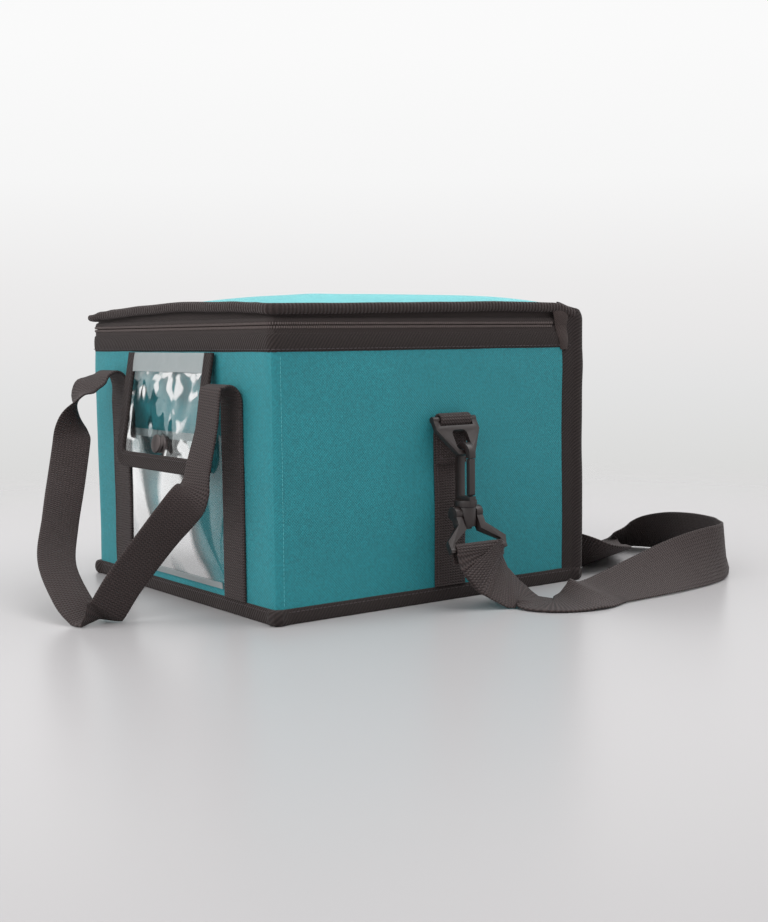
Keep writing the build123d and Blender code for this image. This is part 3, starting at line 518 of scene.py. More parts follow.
def join_pieces(pieces, name):
    """One object from several."""
    deselect_all()
    for piece in pieces:
        piece.select_set(True)
    bpy.context.view_layer.objects.active = pieces[0]
    bpy.ops.object.join()
    joined = bpy.context.object
    joined.name = name
    joined.data.name = name
    return joined


# Where things are on the bag

def loop_length(half_x, half_y, radius):
    return 4 * (half_x + half_y - 2 * radius) + 2 * math.pi * radius


def loop_point(distance, half_x, half_y, radius):
    """A point and outward direction on the rounded outline, going left from the rear middle."""
    distance %= loop_length(half_x, half_y, radius)
    quarter = math.pi * radius / 2
    flat_x = half_x - radius
    flat_y = half_y - radius
    runs = [
        (flat_x, (0, half_y), (-1, 0)),
        (quarter, (-flat_x, flat_y), 90),
        (2 * flat_y, (-half_x, flat_y), (0, -1)),
        (quarter, (-flat_x, -flat_y), 180),
        (2 * flat_x, (-flat_x, -half_y), (1, 0)),
        (quarter, (flat_x, -flat_y), 270),
        (2 * flat_y, (half_x, -flat_y), (0, 1)),
        (quarter, (flat_x, flat_y), 0),
        (flat_x, (flat_x, half_y), (-1, 0)),
    ]
    for length, start, way in runs:
        if distance <= length or length == runs[-1][0] and start == runs[-1][1]:
            break
        distance -= length
    if isinstance(way, tuple):
        x = start[0] + way[0] * distance
        y = start[1] + way[1] * distance
        return x, y, way[1], -way[0]
    angle = math.radians(way) + distance / max(radius, 1e-6)
    nx = math.cos(angle)
    ny = math.sin(angle)
    return start[0] + radius * nx, start[1] + radius * ny, nx, ny


def cloth_relief(x, y, z):
    """How far the soft wall stands out or in, in millimetres."""
    place = Vector((x, y, z))
    slow = noise.noise(place * 0.013 + Vector((3.1, 0, 7.7)))
    quick = noise.noise(place * 0.045)
    held = min(1.0, max(0.0, (z - 8) / 25)) * min(1.0, max(0.0, (BAND_BOTTOM - z) / 12))
    return held * (0.9 * slow + 0.35 * quick)


def wall_point(distance, z, out, radius=CORNER):
    """A point on the bag's wall at this height, standing out from the cloth."""
    x, y, nx, ny = loop_point(distance, HALF_X, HALF_Y, radius)
    out = out + cloth_relief(x, y, z)
    return x + nx * out, y + ny * out, z


WALL_LENGTH = loop_length(HALF_X, HALF_Y, CORNER)


def smooth_through(points, count):
    """Points on a smooth line through these ones, as (value, ...) tuples of any length."""
    out = []
    last = len(points) - 1
    for i in range(count):
        t = i / (count - 1) * last
        k = min(int(t), last - 1)
        f = t - k
        p0 = points[max(k - 1, 0)]
        p1 = points[k]
        p2 = points[k + 1]
        p3 = points[min(k + 2, last)]
        row = []
        for a, b, c, d in zip(p0, p1, p2, p3):
            row.append(0.5 * (2 * b + (c - a) * f + (2 * a - 5 * b + 4 * c - d) * f * f
                              + (3 * b - a - 3 * c + d) * f * f * f))
        out.append(tuple(row))
    return out


def value_at(table, position):
    """Read a smooth value between the hand-chosen (position, value) pairs."""
    if position <= table[0][0]:
        return table[0][1]
    for (a, va), (b, vb) in zip(table, table[1:]):
        if position <= b:
            t = (position - a) / (b - a)
            t = t * t * (3 - 2 * t)
            return va + (vb - va) * t
    return table[-1][1]


def webbing(name, stations, width, thick, step=3.0, crown=0.0):
    """Flat webbing through stations of (middle, width direction), with rounded edges."""
    rough = [tuple(s[0]) + tuple(Vector(s[1]).normalized()) for s in stations]
    length = sum((Vector(b[:3]) - Vector(a[:3])).length for a, b in zip(rough, rough[1:]))
    count = max(int(length / step), 8)
    fine = smooth_through(rough, 12 * len(rough))
    travelled = [0.0]
    for a, b in zip(fine, fine[1:]):
        travelled.append(travelled[-1] + (Vector(b[:3]) - Vector(a[:3])).length)
    total = travelled[-1]
    middles = []
    widths = []
    k = 0
    for i in range(count + 1):
        goal = total * i / count
        while k < len(fine) - 2 and travelled[k + 1] < goal:
            k += 1
        f = (goal - travelled[k]) / max(travelled[k + 1] - travelled[k], 1e-9)
        row = [a + (b - a) * f for a, b in zip(fine[k], fine[k + 1])]
        middles.append(Vector(row[:3]))
        widths.append(Vector(row[3:]))
    frames = []
    for i, middle in enumerate(middles):
        tangent = (middles[min(i + 1, count)] - middles[max(i - 1, 0)]).normalized()
        across = widths[i]
        across = (across - tangent * across.dot(tangent)).normalized()
        normal = tangent.cross(across)
        low = middle.z - abs(across.z) * width / 2 - abs(normal.z) * thick / 2
        if low < 0.3:
            middle = middle + Vector((0, 0, 0.3 - low))
        frames.append((middle, across, normal))
    half = width / 2
    edge = thick / 2
    section = []
    columns = 10
    for i in range(columns + 1):
        section.append((-half + edge + (width - 2 * edge) * i / columns, edge))
    for angle in (60, 20, -20, -60):
        a = math.radians(angle)
        section.append((half - edge + edge * math.cos(a), edge * math.sin(a)))
    for i in range(columns + 1):
        section.append((half - edge - (width - 2 * edge) * i / columns, -edge))
    for angle in (240, 200, 160, 120):
        a = math.radians(angle)
        section.append((-half + edge + edge * math.cos(a), edge * math.sin(a)))
    section.append(section[0])
    turns = len(section) - 1

    def place(u, v):
        middle, across, normal = frames[round(v * count)]
        a, b = section[round(u * turns)]
        bend = crown * (1 - (a / half) ** 2)
        return middle + across * a + normal * (b + bend)

    def spread(u, v):
        return section[round(u * turns)][0], v * total

    piece = grid_piece(name, turns, count, place, spread, joined=True)
    cap_ends(piece)
    return piece, frames


def cap_ends(piece):
    """Close the open ends of a tube and look outwards."""
    make_active(piece)
    bpy.ops.object.mode_set(mode="EDIT")
    bpy.ops.mesh.select_all(action="SELECT")
    bpy.ops.mesh.fill_holes(sides=0)
    bpy.ops.mesh.select_all(action="SELECT")
    bpy.ops.mesh.normals_make_consistent(inside=False)
    bpy.ops.object.mode_set(mode="OBJECT")


def stitch_row(name, path, length, thick=0.7, material="sewing_thread",
               body="bag"):
    """A row of stitches: short rounded threads that dip into the cloth between them."""
    total = 0.0
    points = [Vector(p) for p, _ in path]
    normals = [Vector(n).normalized() for _, n in path]
    lengths = [0.0]
    for a, b in zip(points, points[1:]):
        total += (b - a).length
        lengths.append(total)
    count = max(int(total / length), 1)
    deselect_all()
    bpy.ops.mesh.primitive_cylinder_add(vertices=6, radius=0.5, depth=1)
    model = bpy.context.object
    make_active(model)
    bpy.ops.object.mode_set(mode="EDIT")
    bpy.ops.mesh.select_all(action="SELECT")
    bpy.ops.mesh.bevel(offset=0.22, segments=1, affect="EDGES")
    bpy.ops.object.mode_set(mode="OBJECT")
    base = [v.co.copy() for v in model.data.vertices]
    faces = [tuple(p.vertices) for p in model.data.polygons]
    bpy.data.objects.remove(model)
    verts = []
    all_faces = []
    k = 0
    for i in range(count):
        goal = total * (i + 0.5) / count
        while k < len(points) - 2 and lengths[k + 1] < goal:
            k += 1
        f = (goal - lengths[k]) / max(lengths[k + 1] - lengths[k], 1e-9)
        middle = points[k].lerp(points[k + 1], f)
        way = (points[k + 1] - points[k]).normalized()
        normal = normals[k].lerp(normals[k + 1], f).normalized()
        side = way.cross(normal).normalized()
        start = len(verts)
        for co in base:
            spot = middle + way * (co.z * length * 0.78) + side * (co.x * thick)
            verts.append((spot + normal * (co.y * thick * 0.7)) * MM)
        all_faces += [tuple(start + j for j in face) for face in faces]
    mesh = bpy.data.meshes.new(name)
    mesh.from_pydata(verts, [], all_faces)
    piece = bpy.data.objects.new(name, mesh)
    bpy.context.scene.collection.objects.link(piece)
    make_active(piece)
    bpy.ops.object.mode_set(mode="EDIT")
    bpy.ops.mesh.select_all(action="SELECT")
    bpy.ops.mesh.normals_make_consistent(inside=False)
    bpy.ops.object.mode_set(mode="OBJECT")
    return finish_piece(piece, material, body)


# The bag's body

BODY_TOP = BAND_BOTTOM + 5.0
REAR_CUT = HALF_Y - 8.0


def build_body():
    """The cloth walls, the lining inside them, the base and the trims at the bottom and rear."""
    columns = 260
    rows = 60
    base = 0.8

    def wall(u, v):
        return wall_point(u * WALL_LENGTH, base + (BODY_TOP - base) * v, 0)

    def cloth_uv(u, v):
        return u * WALL_LENGTH, base + (BODY_TOP - base) * v

    shell = grid_piece("body_cloth", columns, rows, wall, cloth_uv, joined=True)
    face_out(shell, lambda c: Vector((c.x, c.y, 0)))
    thicken(shell, 1.1)
    finish_piece(shell, "nylon_body", "bag", ("outer_wrap", "rear_panel"))

    inner_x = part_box("liner_tub")[1].x / MM - 0.8
    inner_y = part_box("liner_tub")[1].y / MM - 0.8
    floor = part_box("liner_tub")[0].z / MM + 0.8
    rim = BAND_TOP - 1.5

    def puckered(x, y, z):
        return 0.8 * noise.noise(Vector((x, y, z)) * 0.06)

    length = loop_length(inner_x, inner_y, 4)

    def tub(u, v):
        x, y, nx, ny = loop_point(u * length, inner_x, inner_y, 4)
        if v < 0.04:
            out = 8.2 * (1 - v / 0.04)
            return x + nx * out, y + ny * out, rim + 0.75
        if v < 0.85:
            share = (v - 0.04) / 0.81
            z = rim - (rim - floor) * share
            out = puckered(x, y, z) * math.sin(math.pi * share) - 0.3
            return x + nx * out, y + ny * out, z
        share = 1 - (v - 0.85) / 0.15
        return x * share, y * share, floor + 0.3 + 0.5 * noise.noise(Vector((x, y, v)) * 3) * share

    tub_piece = grid_piece("lining", 180, 75, tub,
                           lambda u, v: (u * length, v * 200), joined=True)
    face_out(tub_piece, lambda c: Vector((-c.x, -c.y, 0)))
    thicken(tub_piece, 0.5)
    finish_piece(tub_piece, "foil", "bag", ("liner_tub",))

    foam_x = HALF_X - 1.4
    foam_y = HALF_Y - 1.4
    foam_length = loop_length(foam_x, foam_y, 6)

    def foam_collar(u, v):
        reach = (0, 0, 7.6, 7.6, 0)[round(v * 4)]
        height = (3.4, BAND_TOP - 1.4, BAND_TOP - 1.4, 3.4, 3.4)[round(v * 4)]
        x, y, nx, ny = loop_point(u * foam_length, foam_x, foam_y, 6)
        return x - nx * reach, y - ny * reach, height

    walls = grid_piece("foam_walls", 180, 4, foam_collar,
                       lambda u, v: (u * foam_length, v * 300), joined=True)
    face_out(walls, lambda c: Vector((c.x, c.y, 0)) if c.x ** 2 + c.y ** 2 > 1 else Vector((0, 0, 1)))
    finish_piece(walls, "foam", "bag",
                 ("foam_front", "foam_rear", "foam_right", "foam_left"))
    floor_pad = box_piece("foam_floor", -foam_x + 9, foam_x - 9, -foam_y + 9, foam_y - 9,
                          3.4, 11.0, 1.0)
    finish_piece(floor_pad, "foam", "bag", ("foam_bottom",))

    under = box_piece("base_cloth", -HALF_X + 4.6, HALF_X - 4.6, -HALF_Y + 4.6, HALF_Y - 4.6,
                      0.1, 1.1, 0.3)
    finish_piece(under, "base_cloth", "bag", ("bottom_panel",))
    board = box_piece("base_stiffener", -HALF_X + 1.5, HALF_X - 1.5, -HALF_Y + 1.5, HALF_Y - 1.5,
                      1.2, 3.2, 0.3)
    finish_piece(board, "board", "bag", ("base_board",))


def box_piece(name, x0, x1, y0, y1, z0, z1, bevel):
    """A cube primitive at its size and place with its edges softened."""
    deselect_all()
    bpy.ops.mesh.primitive_cube_add(size=1)
    piece = bpy.context.object
    piece.name = name
    piece.data.name = name
    middle = Vector(((x0 + x1) / 2, (y0 + y1) / 2, (z0 + z1) / 2))
    size = Vector((x1 - x0, y1 - y0, z1 - z0))
    for vertex in piece.data.vertices:
        vertex.co = Vector([(m + c * s) * MM for m, c, s in zip(middle, vertex.co, size)])
    if bevel:
        make_active(piece)
        bpy.ops.object.mode_set(mode="EDIT")
        bpy.ops.mesh.select_all(action="SELECT")
        bpy.ops.mesh.bevel(offset=bevel * MM, segments=2, affect="EDGES")
        bpy.ops.object.mode_set(mode="OBJECT")
    return piece


def corner_ridge(distance, height):
    """How far a stiff binding stands out where it folds round a corner."""
    quarter = math.pi * CORNER / 4
    middles = (LEFT_REAR + quarter, LEFT_FRONT + quarter, FRONT_RIGHT + quarter,
               RIGHT_REAR + quarter)
    return height * sum(math.exp(-((distance - m) / 4.0) ** 2) for m in middles)


def folded_tape(name, start, end, z_low, z_high, proud, rows=10, radius=CORNER, wander=0.35,
                edge_curl=0.5, columns=None, lift=None, ridge=0.0, fullness=0.35):
    """A tape laid along the wall from one distance to another, its edges turned in."""
    span = end - start
    columns = columns or max(int(span / 2.5), 6)

    def place(u, v):
        d = start + u * span
        ripple = wander * noise.noise(Vector((d * 0.03, z_low * 0.1, 2.0)))
        v = 0.5 - 0.5 * math.cos(math.pi * v)
        z = max(z_low + (z_high - z_low) * v + ripple, 0.05)
        edge = math.sin(math.pi * min(max(v, 0), 1)) ** fullness
        out = proud * edge - edge_curl * (1 - edge) + corner_ridge(d, ridge) * edge
        if lift:
            z += lift(d)
        return wall_point(d, z, out, radius)

    return grid_piece(name, columns, rows, place,
                      lambda u, v: (start + u * span, (z_high - z_low) * v),
                      joined=abs(span - WALL_LENGTH) < 0.5)


def stitches_on_wall(name, start, end, z, proud, step=3.2, lift=None, body="bag",
                     material="sewing_thread", thick=0.55):
    """A row of stitches along the wall at one height."""
    count = int((end - start) / 4)
    path = []
    for i in range(count + 1):
        d = start + (end - start) * i / count
        level = z + (lift(d) if lift else 0)
        x, y, z_here = wall_point(d, level, proud)
        _, _, nx, ny = loop_point(d, HALF_X, HALF_Y, CORNER)
        path.append(((x, y, z_here), (nx, ny, 0)))
    return stitch_row(name, path, step, thick, material, body)


# Distances along the wall, from the rear middle round by the left side
LEFT_REAR = HALF_X - CORNER
LEFT_FRONT = LEFT_REAR + math.pi * CORNER / 2 + 2 * (HALF_Y - CORNER)
FRONT_LEFT = LEFT_FRONT + math.pi * CORNER / 2
FRONT_RIGHT = FRONT_LEFT + 2 * (HALF_X - CORNER)
RIGHT_FRONT = FRONT_RIGHT + math.pi * CORNER / 2
RIGHT_REAR = RIGHT_FRONT + 2 * (HALF_Y - CORNER)
REAR_RIGHT = RIGHT_REAR + math.pi * CORNER / 2


def left_side(y):
    return LEFT_REAR + math.pi * CORNER / 2 + (HALF_Y - CORNER - y)


def right_side(y):
    return RIGHT_FRONT + (y + HALF_Y - CORNER)


def build_trims():
    """The bindings round the base and the rear corners, and the twill band under the zip."""
    base = folded_tape("base_binding", 0, WALL_LENGTH, 0.05, 9.6, 1.5, rows=14, ridge=3.6,
                       edge_curl=0.2, fullness=0.2)
    face_out(base, lambda c: Vector((c.x, c.y, 0)))
    thicken(base, 1.1)
    finish_piece(base, "twill_binding", "bag", ("bottom_binding",))
    stitches_on_wall("base_stitches", 0, WALL_LENGTH, 7.6, 1.35)

    band = folded_tape("mouth_band", 0, WALL_LENGTH, BAND_BOTTOM + 0.2, BAND_TOP + 0.4, 0.75,
                       rows=10, edge_curl=0.3)
    face_out(band, lambda c: Vector((c.x, c.y, 0)))
    thicken(band, 1.0)
    finish_piece(band, "twill_binding", "bag", ("body_band",))
    stitches_on_wall("band_stitches", 0, WALL_LENGTH, BAND_BOTTOM + 2.0, 0.95)

    for name, x, y in (("near", 1, -1), ("left", -1, -1)):
        path = []
        for i in range(41):
            z = 11 + 148 * i / 40
            d = right_side(-HALF_Y + CORNER + 1.2) if x > 0 else left_side(-HALF_Y + CORNER + 1.2)
            path.append((wall_point(d, z, 0.15), (x, 0, 0)))
        stitch_row("corner_seam_" + name, path, 2.6, 0.45, "teal_thread")

    for side, start in (("right", right_side(HALF_Y - 16.0)), ("left", LEFT_REAR - 9.0)):
        span = 15.0 + math.pi * CORNER / 2 + 9.0

        def corner(u, v, start=start, span=span):
            d = start + u * span
            x, y, _, _ = loop_point(d, HALF_X, HALF_Y, CORNER)
            over = max(v - 0.97, 0) / 0.03
            z = 9.0 + (lid_edge_top(x, y) + 0.4 - 9.0) * min(v / 0.97, 1)
            fold = math.sin(math.pi * u) ** 0.5
            ripple = 0.5 * noise.noise(Vector((z * 0.06, start * 0.01, 5.0)))
            fading = 1 - min(max((z - 180) / 9, 0), 1) ** 2
            ridge = 3.8 * math.exp(-((u - 0.52) / 0.12) ** 2) * fading
            out = 1.1 * fold - 0.35 * (1 - fold) + 0.25 * ripple * fold + ridge - 4.0 * over
            return wall_point(d, z + 0.8 * over, out)

        piece = grid_piece("rear_edge_" + side, 28, 90, corner,
                           lambda u, v: (v * 182, u * 32))
        face_out(piece, lambda c: Vector((c.x, c.y, 0)))
        thicken(piece, 1.0)
        finish_piece(piece, "twill_binding", None,
                     ("rear_binding_" + side,))
        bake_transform(piece)


# The lid

EDGE_TOP = 193.3
FRONT_ARCH = [(-122, 184.2), (-118, 186.6), (-103, 189.5), (-86, 190.8), (-40, 192.3), (10, 193.3),
              (73, 192.0), (102, 190.8), (122, 189.8)]
SIDE_ARCH = [(-124, 189.9), (-85, 190.2), (-32, 190.9), (7, 191.5), (49, 192.2), (76, 192.0),
             (98, 191.7), (108, 191.3), (117, 190.5), (124, 188.6)]


def lid_edge_top(x, y):
    """Height of the lid's edge roll: it arches up between the corners."""
    side = value_at(SIDE_ARCH, y)
    front = value_at(FRONT_ARCH, x if y < 0 else -x)
    share_x = min(max((abs(x) - HALF_X + 16) / 16, 0), 1)
    share_y = min(max((abs(y) - HALF_Y + 16) / 16, 0), 1)
    if x < 0:
        side -= 2.2 * min(max((-y - 90) / 30, 0), 1)
    weight = share_x / max(share_x + share_y, 1e-6)
    return side * weight + front * (1 - weight)


def build_lid():
    """The crowned top, its rolled edge, the tapes at the zip and the lining underneath."""
    sizes, _ = settings()
    crown = sizes.lid_crown / MM
    ring = loop_length(HALF_X - 2.5, HALF_Y - 2.5, CORNER)

    def top_height(x, y, share, edge):
        rise = EDGE_TOP - 1.5 + crown
        lean = min(max((x + y + 120) / 280, 0), 1)
        fall = share ** (1.9 + 2.0 * lean)
        soft = 0.45 * noise.noise(Vector((x * 0.03, y * 0.03, 1.5))) * (1 - fall)
        return (edge - 1.6) * fall + rise * (1 - fall) + soft

    def top(u, v):
        share = 1 - v
        x, y, nx, ny = loop_point(u * ring, HALF_X - 2.5, HALF_Y - 2.5, CORNER)
        edge = lid_edge_top(x, y)
        return x * share, y * share, top_height(x * share, y * share, share, edge)

    def top_uv(u, v):
        x, y, _ = top(u, v)
        return x, y

    cover = grid_piece("lid_cloth", 240, 60, top, top_uv, joined=True)
    face_out(cover, lambda c: Vector((0, 0, 1)))
    thicken(cover, 1.1)
    # The lid cloth's lighter colour is a painted highlight.
    finish_piece(cover, "nylon_lid_painted_light", "lid", ("lid_panel",))

    roll_length = loop_length(HALF_X, HALF_Y, CORNER + 1)

    def roll(u, v):
        angle = 2 * math.pi * v
        d = u * roll_length
        x, y, nx, ny = loop_point(d, HALF_X, HALF_Y, CORNER + 1)
        bunch = 0.25 * noise.noise(Vector((d * 0.09, v * 3, 4.0)))
        tip = min(max((-x - 95) / 25, 0), 1) * min(max((-y - 95) / 25, 0), 1)
        half_high = 3.3 - 1.2 * tip
        half_deep = 2.5 + bunch
        high = math.copysign(abs(math.sin(angle)) ** 0.85, math.sin(angle))
        deep = math.copysign(abs(math.cos(angle)) ** 0.85, math.cos(angle))
        z = lid_edge_top(x, y) + 0.5 * tip - half_high + half_high * high
        out = -0.3 + half_deep * deep + 3.0 * tip
        return x + nx * out, y + ny * out, z

    edge = grid_piece("lid_edge_roll", 420, 16, roll,
                      lambda u, v: (u * roll_length, v * 17), joined=True)
    make_active(edge)
    bpy.ops.object.mode_set(mode="EDIT")
    bpy.ops.mesh.select_all(action="SELECT")
    bpy.ops.mesh.normals_make_consistent(inside=False)
    bpy.ops.object.mode_set(mode="OBJECT")
    finish_piece(edge, "twill_roll", "lid", ("lid_binding",), smooth=60)

    def upper(u, v):
        d = u * WALL_LENGTH
        x, y, nx, ny = loop_point(d, HALF_X, HALF_Y, CORNER)
        low = ZIP_LINE + 0.08
        high = lid_edge_top(x, y) - 2.5
        z = low + (high - low) * v
        out = value_at([(low, -1.3), (low + 0.6, -0.7), (179.4, -0.4), (180.9, -0.9),
                        (182.2, -2.9), (high, -3.2)], z)
        return x + nx * out, y + ny * out, z

    tape = grid_piece("zip_tape_upper", 240, 30, upper,
                      lambda u, v: (u * WALL_LENGTH, v * 11), joined=True)
    face_out(tape, lambda c: Vector((c.x, c.y, 0)))
    thicken(tape, 0.8)
    finish_piece(tape, "zip_tape", "lid", ("upper_zip_tape", "lid_band"))

    def pad(u, v):
        x, y, nx, ny = loop_point(u * ring, HALF_X - 4.2, HALF_Y - 4.2, CORNER)
        edge_z = lid_edge_top(x, y)
        if v < 0.4:
            share = v / 0.4
            return x * share, y * share, ZIP_LINE + 1.6
        if v < 0.6:
            rise = (v - 0.4) / 0.2
            return x, y, ZIP_LINE + 1.6 + (edge_z - 5 - ZIP_LINE) * rise
        share = 1 - (v - 0.6) / 0.4
        z = top_height(x * share, y * share, share, edge_z) - 2.2
        return x * share, y * share, z

    filling = grid_piece("lid_pad", 120, 25, pad, lambda u, v: (u * ring, v * 260), joined=True)
    make_active(filling)
    bpy.ops.object.mode_set(mode="EDIT")
    bpy.ops.mesh.select_all(action="SELECT")
    bpy.ops.mesh.normals_make_consistent(inside=False)
    bpy.ops.object.mode_set(mode="OBJECT")
    finish_piece(filling, "foam", "lid", ("lid_foam",))

    def under(u, v):
        x, y, nx, ny = loop_point(u * ring, HALF_X - 3.4, HALF_Y - 3.4, CORNER)
        if v < 0.8:
            share = v / 0.8
            dimple = 0.5 * noise.noise(Vector((x * share * 0.05, y * share * 0.05, 9)))
            return x * share, y * share, ZIP_LINE + 0.9 + max(dimple, -0.3)
        return x, y, ZIP_LINE + 0.9 + (v - 0.8) / 0.2 * 6

    lining = grid_piece("lid_lining", 160, 30, under, lambda u, v: (u * ring, v * 200),
                        joined=True)
    face_out(lining, lambda c: Vector((0, 0, -1)))
    thicken(lining, 0.4)
    finish_piece(lining, "foil", "lid", ("lid_liner",))

    def hinge(u, v):
        x = -(HALF_X - 12) + 2 * (HALF_X - 12) * u
        return -x, HALF_Y + 0.15 + 0.4 * math.sin(math.pi * v), 170.5 + 16 * v

    hinge_cloth = grid_piece("hinge_cloth", 40, 24, hinge, lambda u, v: (u * 222, v * 16))
    face_out(hinge_cloth, lambda c: Vector((0, 1, 0)))
    thicken(hinge_cloth, 0.8)
    finish_piece(hinge_cloth, "zip_tape", None, ())
    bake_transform(hinge_cloth)


def build_zip():
    """The lower tape, the coil's turns on both sides, and the tabs over its ends."""
    sizes, _ = settings()

    def lower(u, v):
        low = BAND_TOP - 1.0
        z = low + (ZIP_LINE + 1.4 - low) * v
        out = value_at([(low, -0.4), (175.2, -0.5), (ZIP_LINE - 0.15, -1.1),
                        (ZIP_LINE - 0.02, -2.9), (ZIP_LINE + 1.4, -3.4)], z)
        x, y, nx, ny = loop_point(u * WALL_LENGTH, HALF_X, HALF_Y, CORNER)
        return x + nx * out, y + ny * out, z

    tape = grid_piece("zip_tape_lower", 240, 24, lower,
                      lambda u, v: (u * WALL_LENGTH, v * 6), joined=True)
    face_out(tape, lambda c: Vector((c.x, c.y, 0)))
    thicken(tape, 0.8)
    finish_piece(tape, "zip_tape", "bag", ("lower_zip_tape", "hinge_strip"))

    start = left_side(100)
    end = right_side(100)
    pitch = sizes.zip_pitch / MM
    for name, low, high, shift, body in (
        ("zip_coil_lower", ZIP_LINE - 2.0, ZIP_LINE - 0.2, 0.0, "bag"),
        ("zip_coil_upper", ZIP_LINE + 0.2, ZIP_LINE + 2.0, 0.5, "lid"),
    ):
        path = []
        count = int((end - start) / 3)
        for i in range(count + 1):
            d = start + (end - start) * i / count + shift * pitch
            x, y, nx, ny = loop_point(d, HALF_X, HALF_Y, CORNER)
            path.append(((x - nx * 0.55, y - ny * 0.55, (low + high) / 2), (nx, ny, 0)))
        coil = coil_row(name, path, pitch, high - low)
        finish_piece(coil, "nylon_coil", body,
                     ("lower_zip_coil",) if body == "bag" else ("upper_zip_coil",))

    for side, sign in (("right", 1), ("left", -1)):
        for part, low, high, body in (("lower", BAND_BOTTOM - 1, ZIP_LINE - 0.05, "bag"),
                                      ("upper", ZIP_LINE + 0.05, 187.0, "lid")):
            def tab(u, v, low=low, high=high, sign=sign):
                z = low + (high - low) * v
                left = 98.5 + 8.0 * (187 - z) / 27
                y = left + (113.0 - left) * u
                out = 1.5 * math.sin(math.pi * min(max(u, 0.02), 0.98)) ** 0.3
                out += 0.5 * math.sin(z * 0.35)
                return sign * (HALF_X + out), y, z

            piece = grid_piece("zip_tab_%s_%s" % (part, side), 12, 14, tab,
                               lambda u, v: (u * 14, v * 16))
            face_out(piece, lambda c, sign=sign: Vector((sign, 0, 0)))
            thicken(piece, 0.8)
            stands = ("zip_tab_" + side,) if body == "bag" else ()
            finish_piece(piece, "tab_twill", body, stands)


def coil_row(name, path, pitch, tall):
    """The coil's turns along a path: small rounded bars standing side by side."""
    points = [Vector(p) for p, _ in path]
    normals = [Vector(n).normalized() for _, n in path]
    lengths = [0.0]
    for a, b in zip(points, points[1:]):
        lengths.append(lengths[-1] + (b - a).length)
    total = lengths[-1]
    verts = []
    faces = []
    half = tall / 2
    thick = 0.42 * pitch
    ring = [(-1, -0.6), (-0.45, 1), (0.45, 1), (1, -0.6)]
    levels = [(-half, 0.35), (-half + 0.35, 0.9), (half - 0.35, 0.9), (half, 0.35)]
    k = 0
    for i in range(int(total / pitch)):
        goal = pitch * (i + 0.5)
        while k < len(points) - 2 and lengths[k + 1] < goal:
            k += 1
        f = (goal - lengths[k]) / max(lengths[k + 1] - lengths[k], 1e-9)
        middle = points[k].lerp(points[k + 1], f)
        way = (points[k + 1] - points[k]).normalized()
        normal = normals[k].lerp(normals[k + 1], f).normalized()
        start = len(verts)
        for z, grow in levels:
            for a, b in ring:
                spot = middle + way * (a * thick * grow + 0.12 * z)
                spot += normal * (b * 0.8 * grow) + Vector((0, 0, z))
                verts.append(spot * MM)
        for level in range(3):
            for j in range(4):
                a = start + level * 4 + j
                b = start + level * 4 + (j + 1) % 4
                faces.append((a, b, b + 4, a + 4))
        faces.append((start + 3, start + 2, start + 1, start))
        faces.append((start + 12, start + 13, start + 14, start + 15))
    return mesh_piece(name, verts, faces)


def mesh_piece(name, verts, faces):
    """An object from points in metres and faces, looking outwards."""
    mesh = bpy.data.meshes.new(name)
    mesh.from_pydata(verts, [], faces)
    piece = bpy.data.objects.new(name, mesh)
    bpy.context.scene.collection.objects.link(piece)
    make_active(piece)
    bpy.ops.object.mode_set(mode="EDIT")
    bpy.ops.mesh.select_all(action="SELECT")
    bpy.ops.mesh.normals_make_consistent(inside=False)
    bpy.ops.object.mode_set(mode="OBJECT")
    return piece


# Webbing, handles and strap

HANDLE_X = 76.0
PIVOT_Y = -139.0
PIVOT_Z = 145.0
STUB = [(-124.6, 133.0), (-124.7, 138.5), (-126.2, 143.4), (-129.2, 146.8), (-133.2, 147.8),
        (-136.4, 146.6)]
HANDLE_LINE = [
    ((-76.0, -139.0, 145.0), (1, 0, 0)),
    ((-76.3, -143.0, 141.5), (0.98, 0.2, -0.1)),
    ((-77.0, -150.0, 138.0), (0.94, 0.3, -0.15)),
    ((-77.5, -155.5, 132.0), (0.99, -0.1, 0)),
    ((-76.0, -158.8, 122.0), (0.8, -0.6, 0)),
    ((-72.0, -162.5, 111.5), (0.26, -0.97, 0)),
    ((-66.5, -166.5, 100.0), (-0.35, -0.93, 0)),
    ((-56.0, -175.0, 79.0), (-0.3, -0.93, 0.1)),
    ((-34.0, -190.0, 52.0), (-0.1, -0.95, 0.3)),
    ((-7.0, -204.5, 30.5), (0, -0.99, 0.1)),
    ((25.0, -209.0, 12.5), (0, -1, 0)),
    ((40.0, -207.0, 4.0), (-0.05, -1, 0)),
    ((46.5, -204.5, 1.5), (-0.05, -1, 0)),
    ((50.5, -199.0, 7.0), (-0.05, -0.96, 0.25)),
    ((54.0, -187.5, 25.0), (-0.05, -0.9, 0.42)),
    ((60.0, -166.5, 52.0), (-0.1, -0.86, 0.5)),
    ((65.5, -155.0, 67.0), (-0.45, -0.78, 0.42)),
    ((71.5, -150.0, 77.0), (-0.9, -0.4, 0.15)),
    ((72.2, -147.8, 85.0), (-0.98, -0.15, 0)),
    ((72.2, -145.5, 95.0), (-0.99, -0.1, 0)),
    ((74.5, -140.8, 118.0), (-1, 0, 0)),
    ((76.0, -139.0, 145.0), (-1, 0, 0)),
]


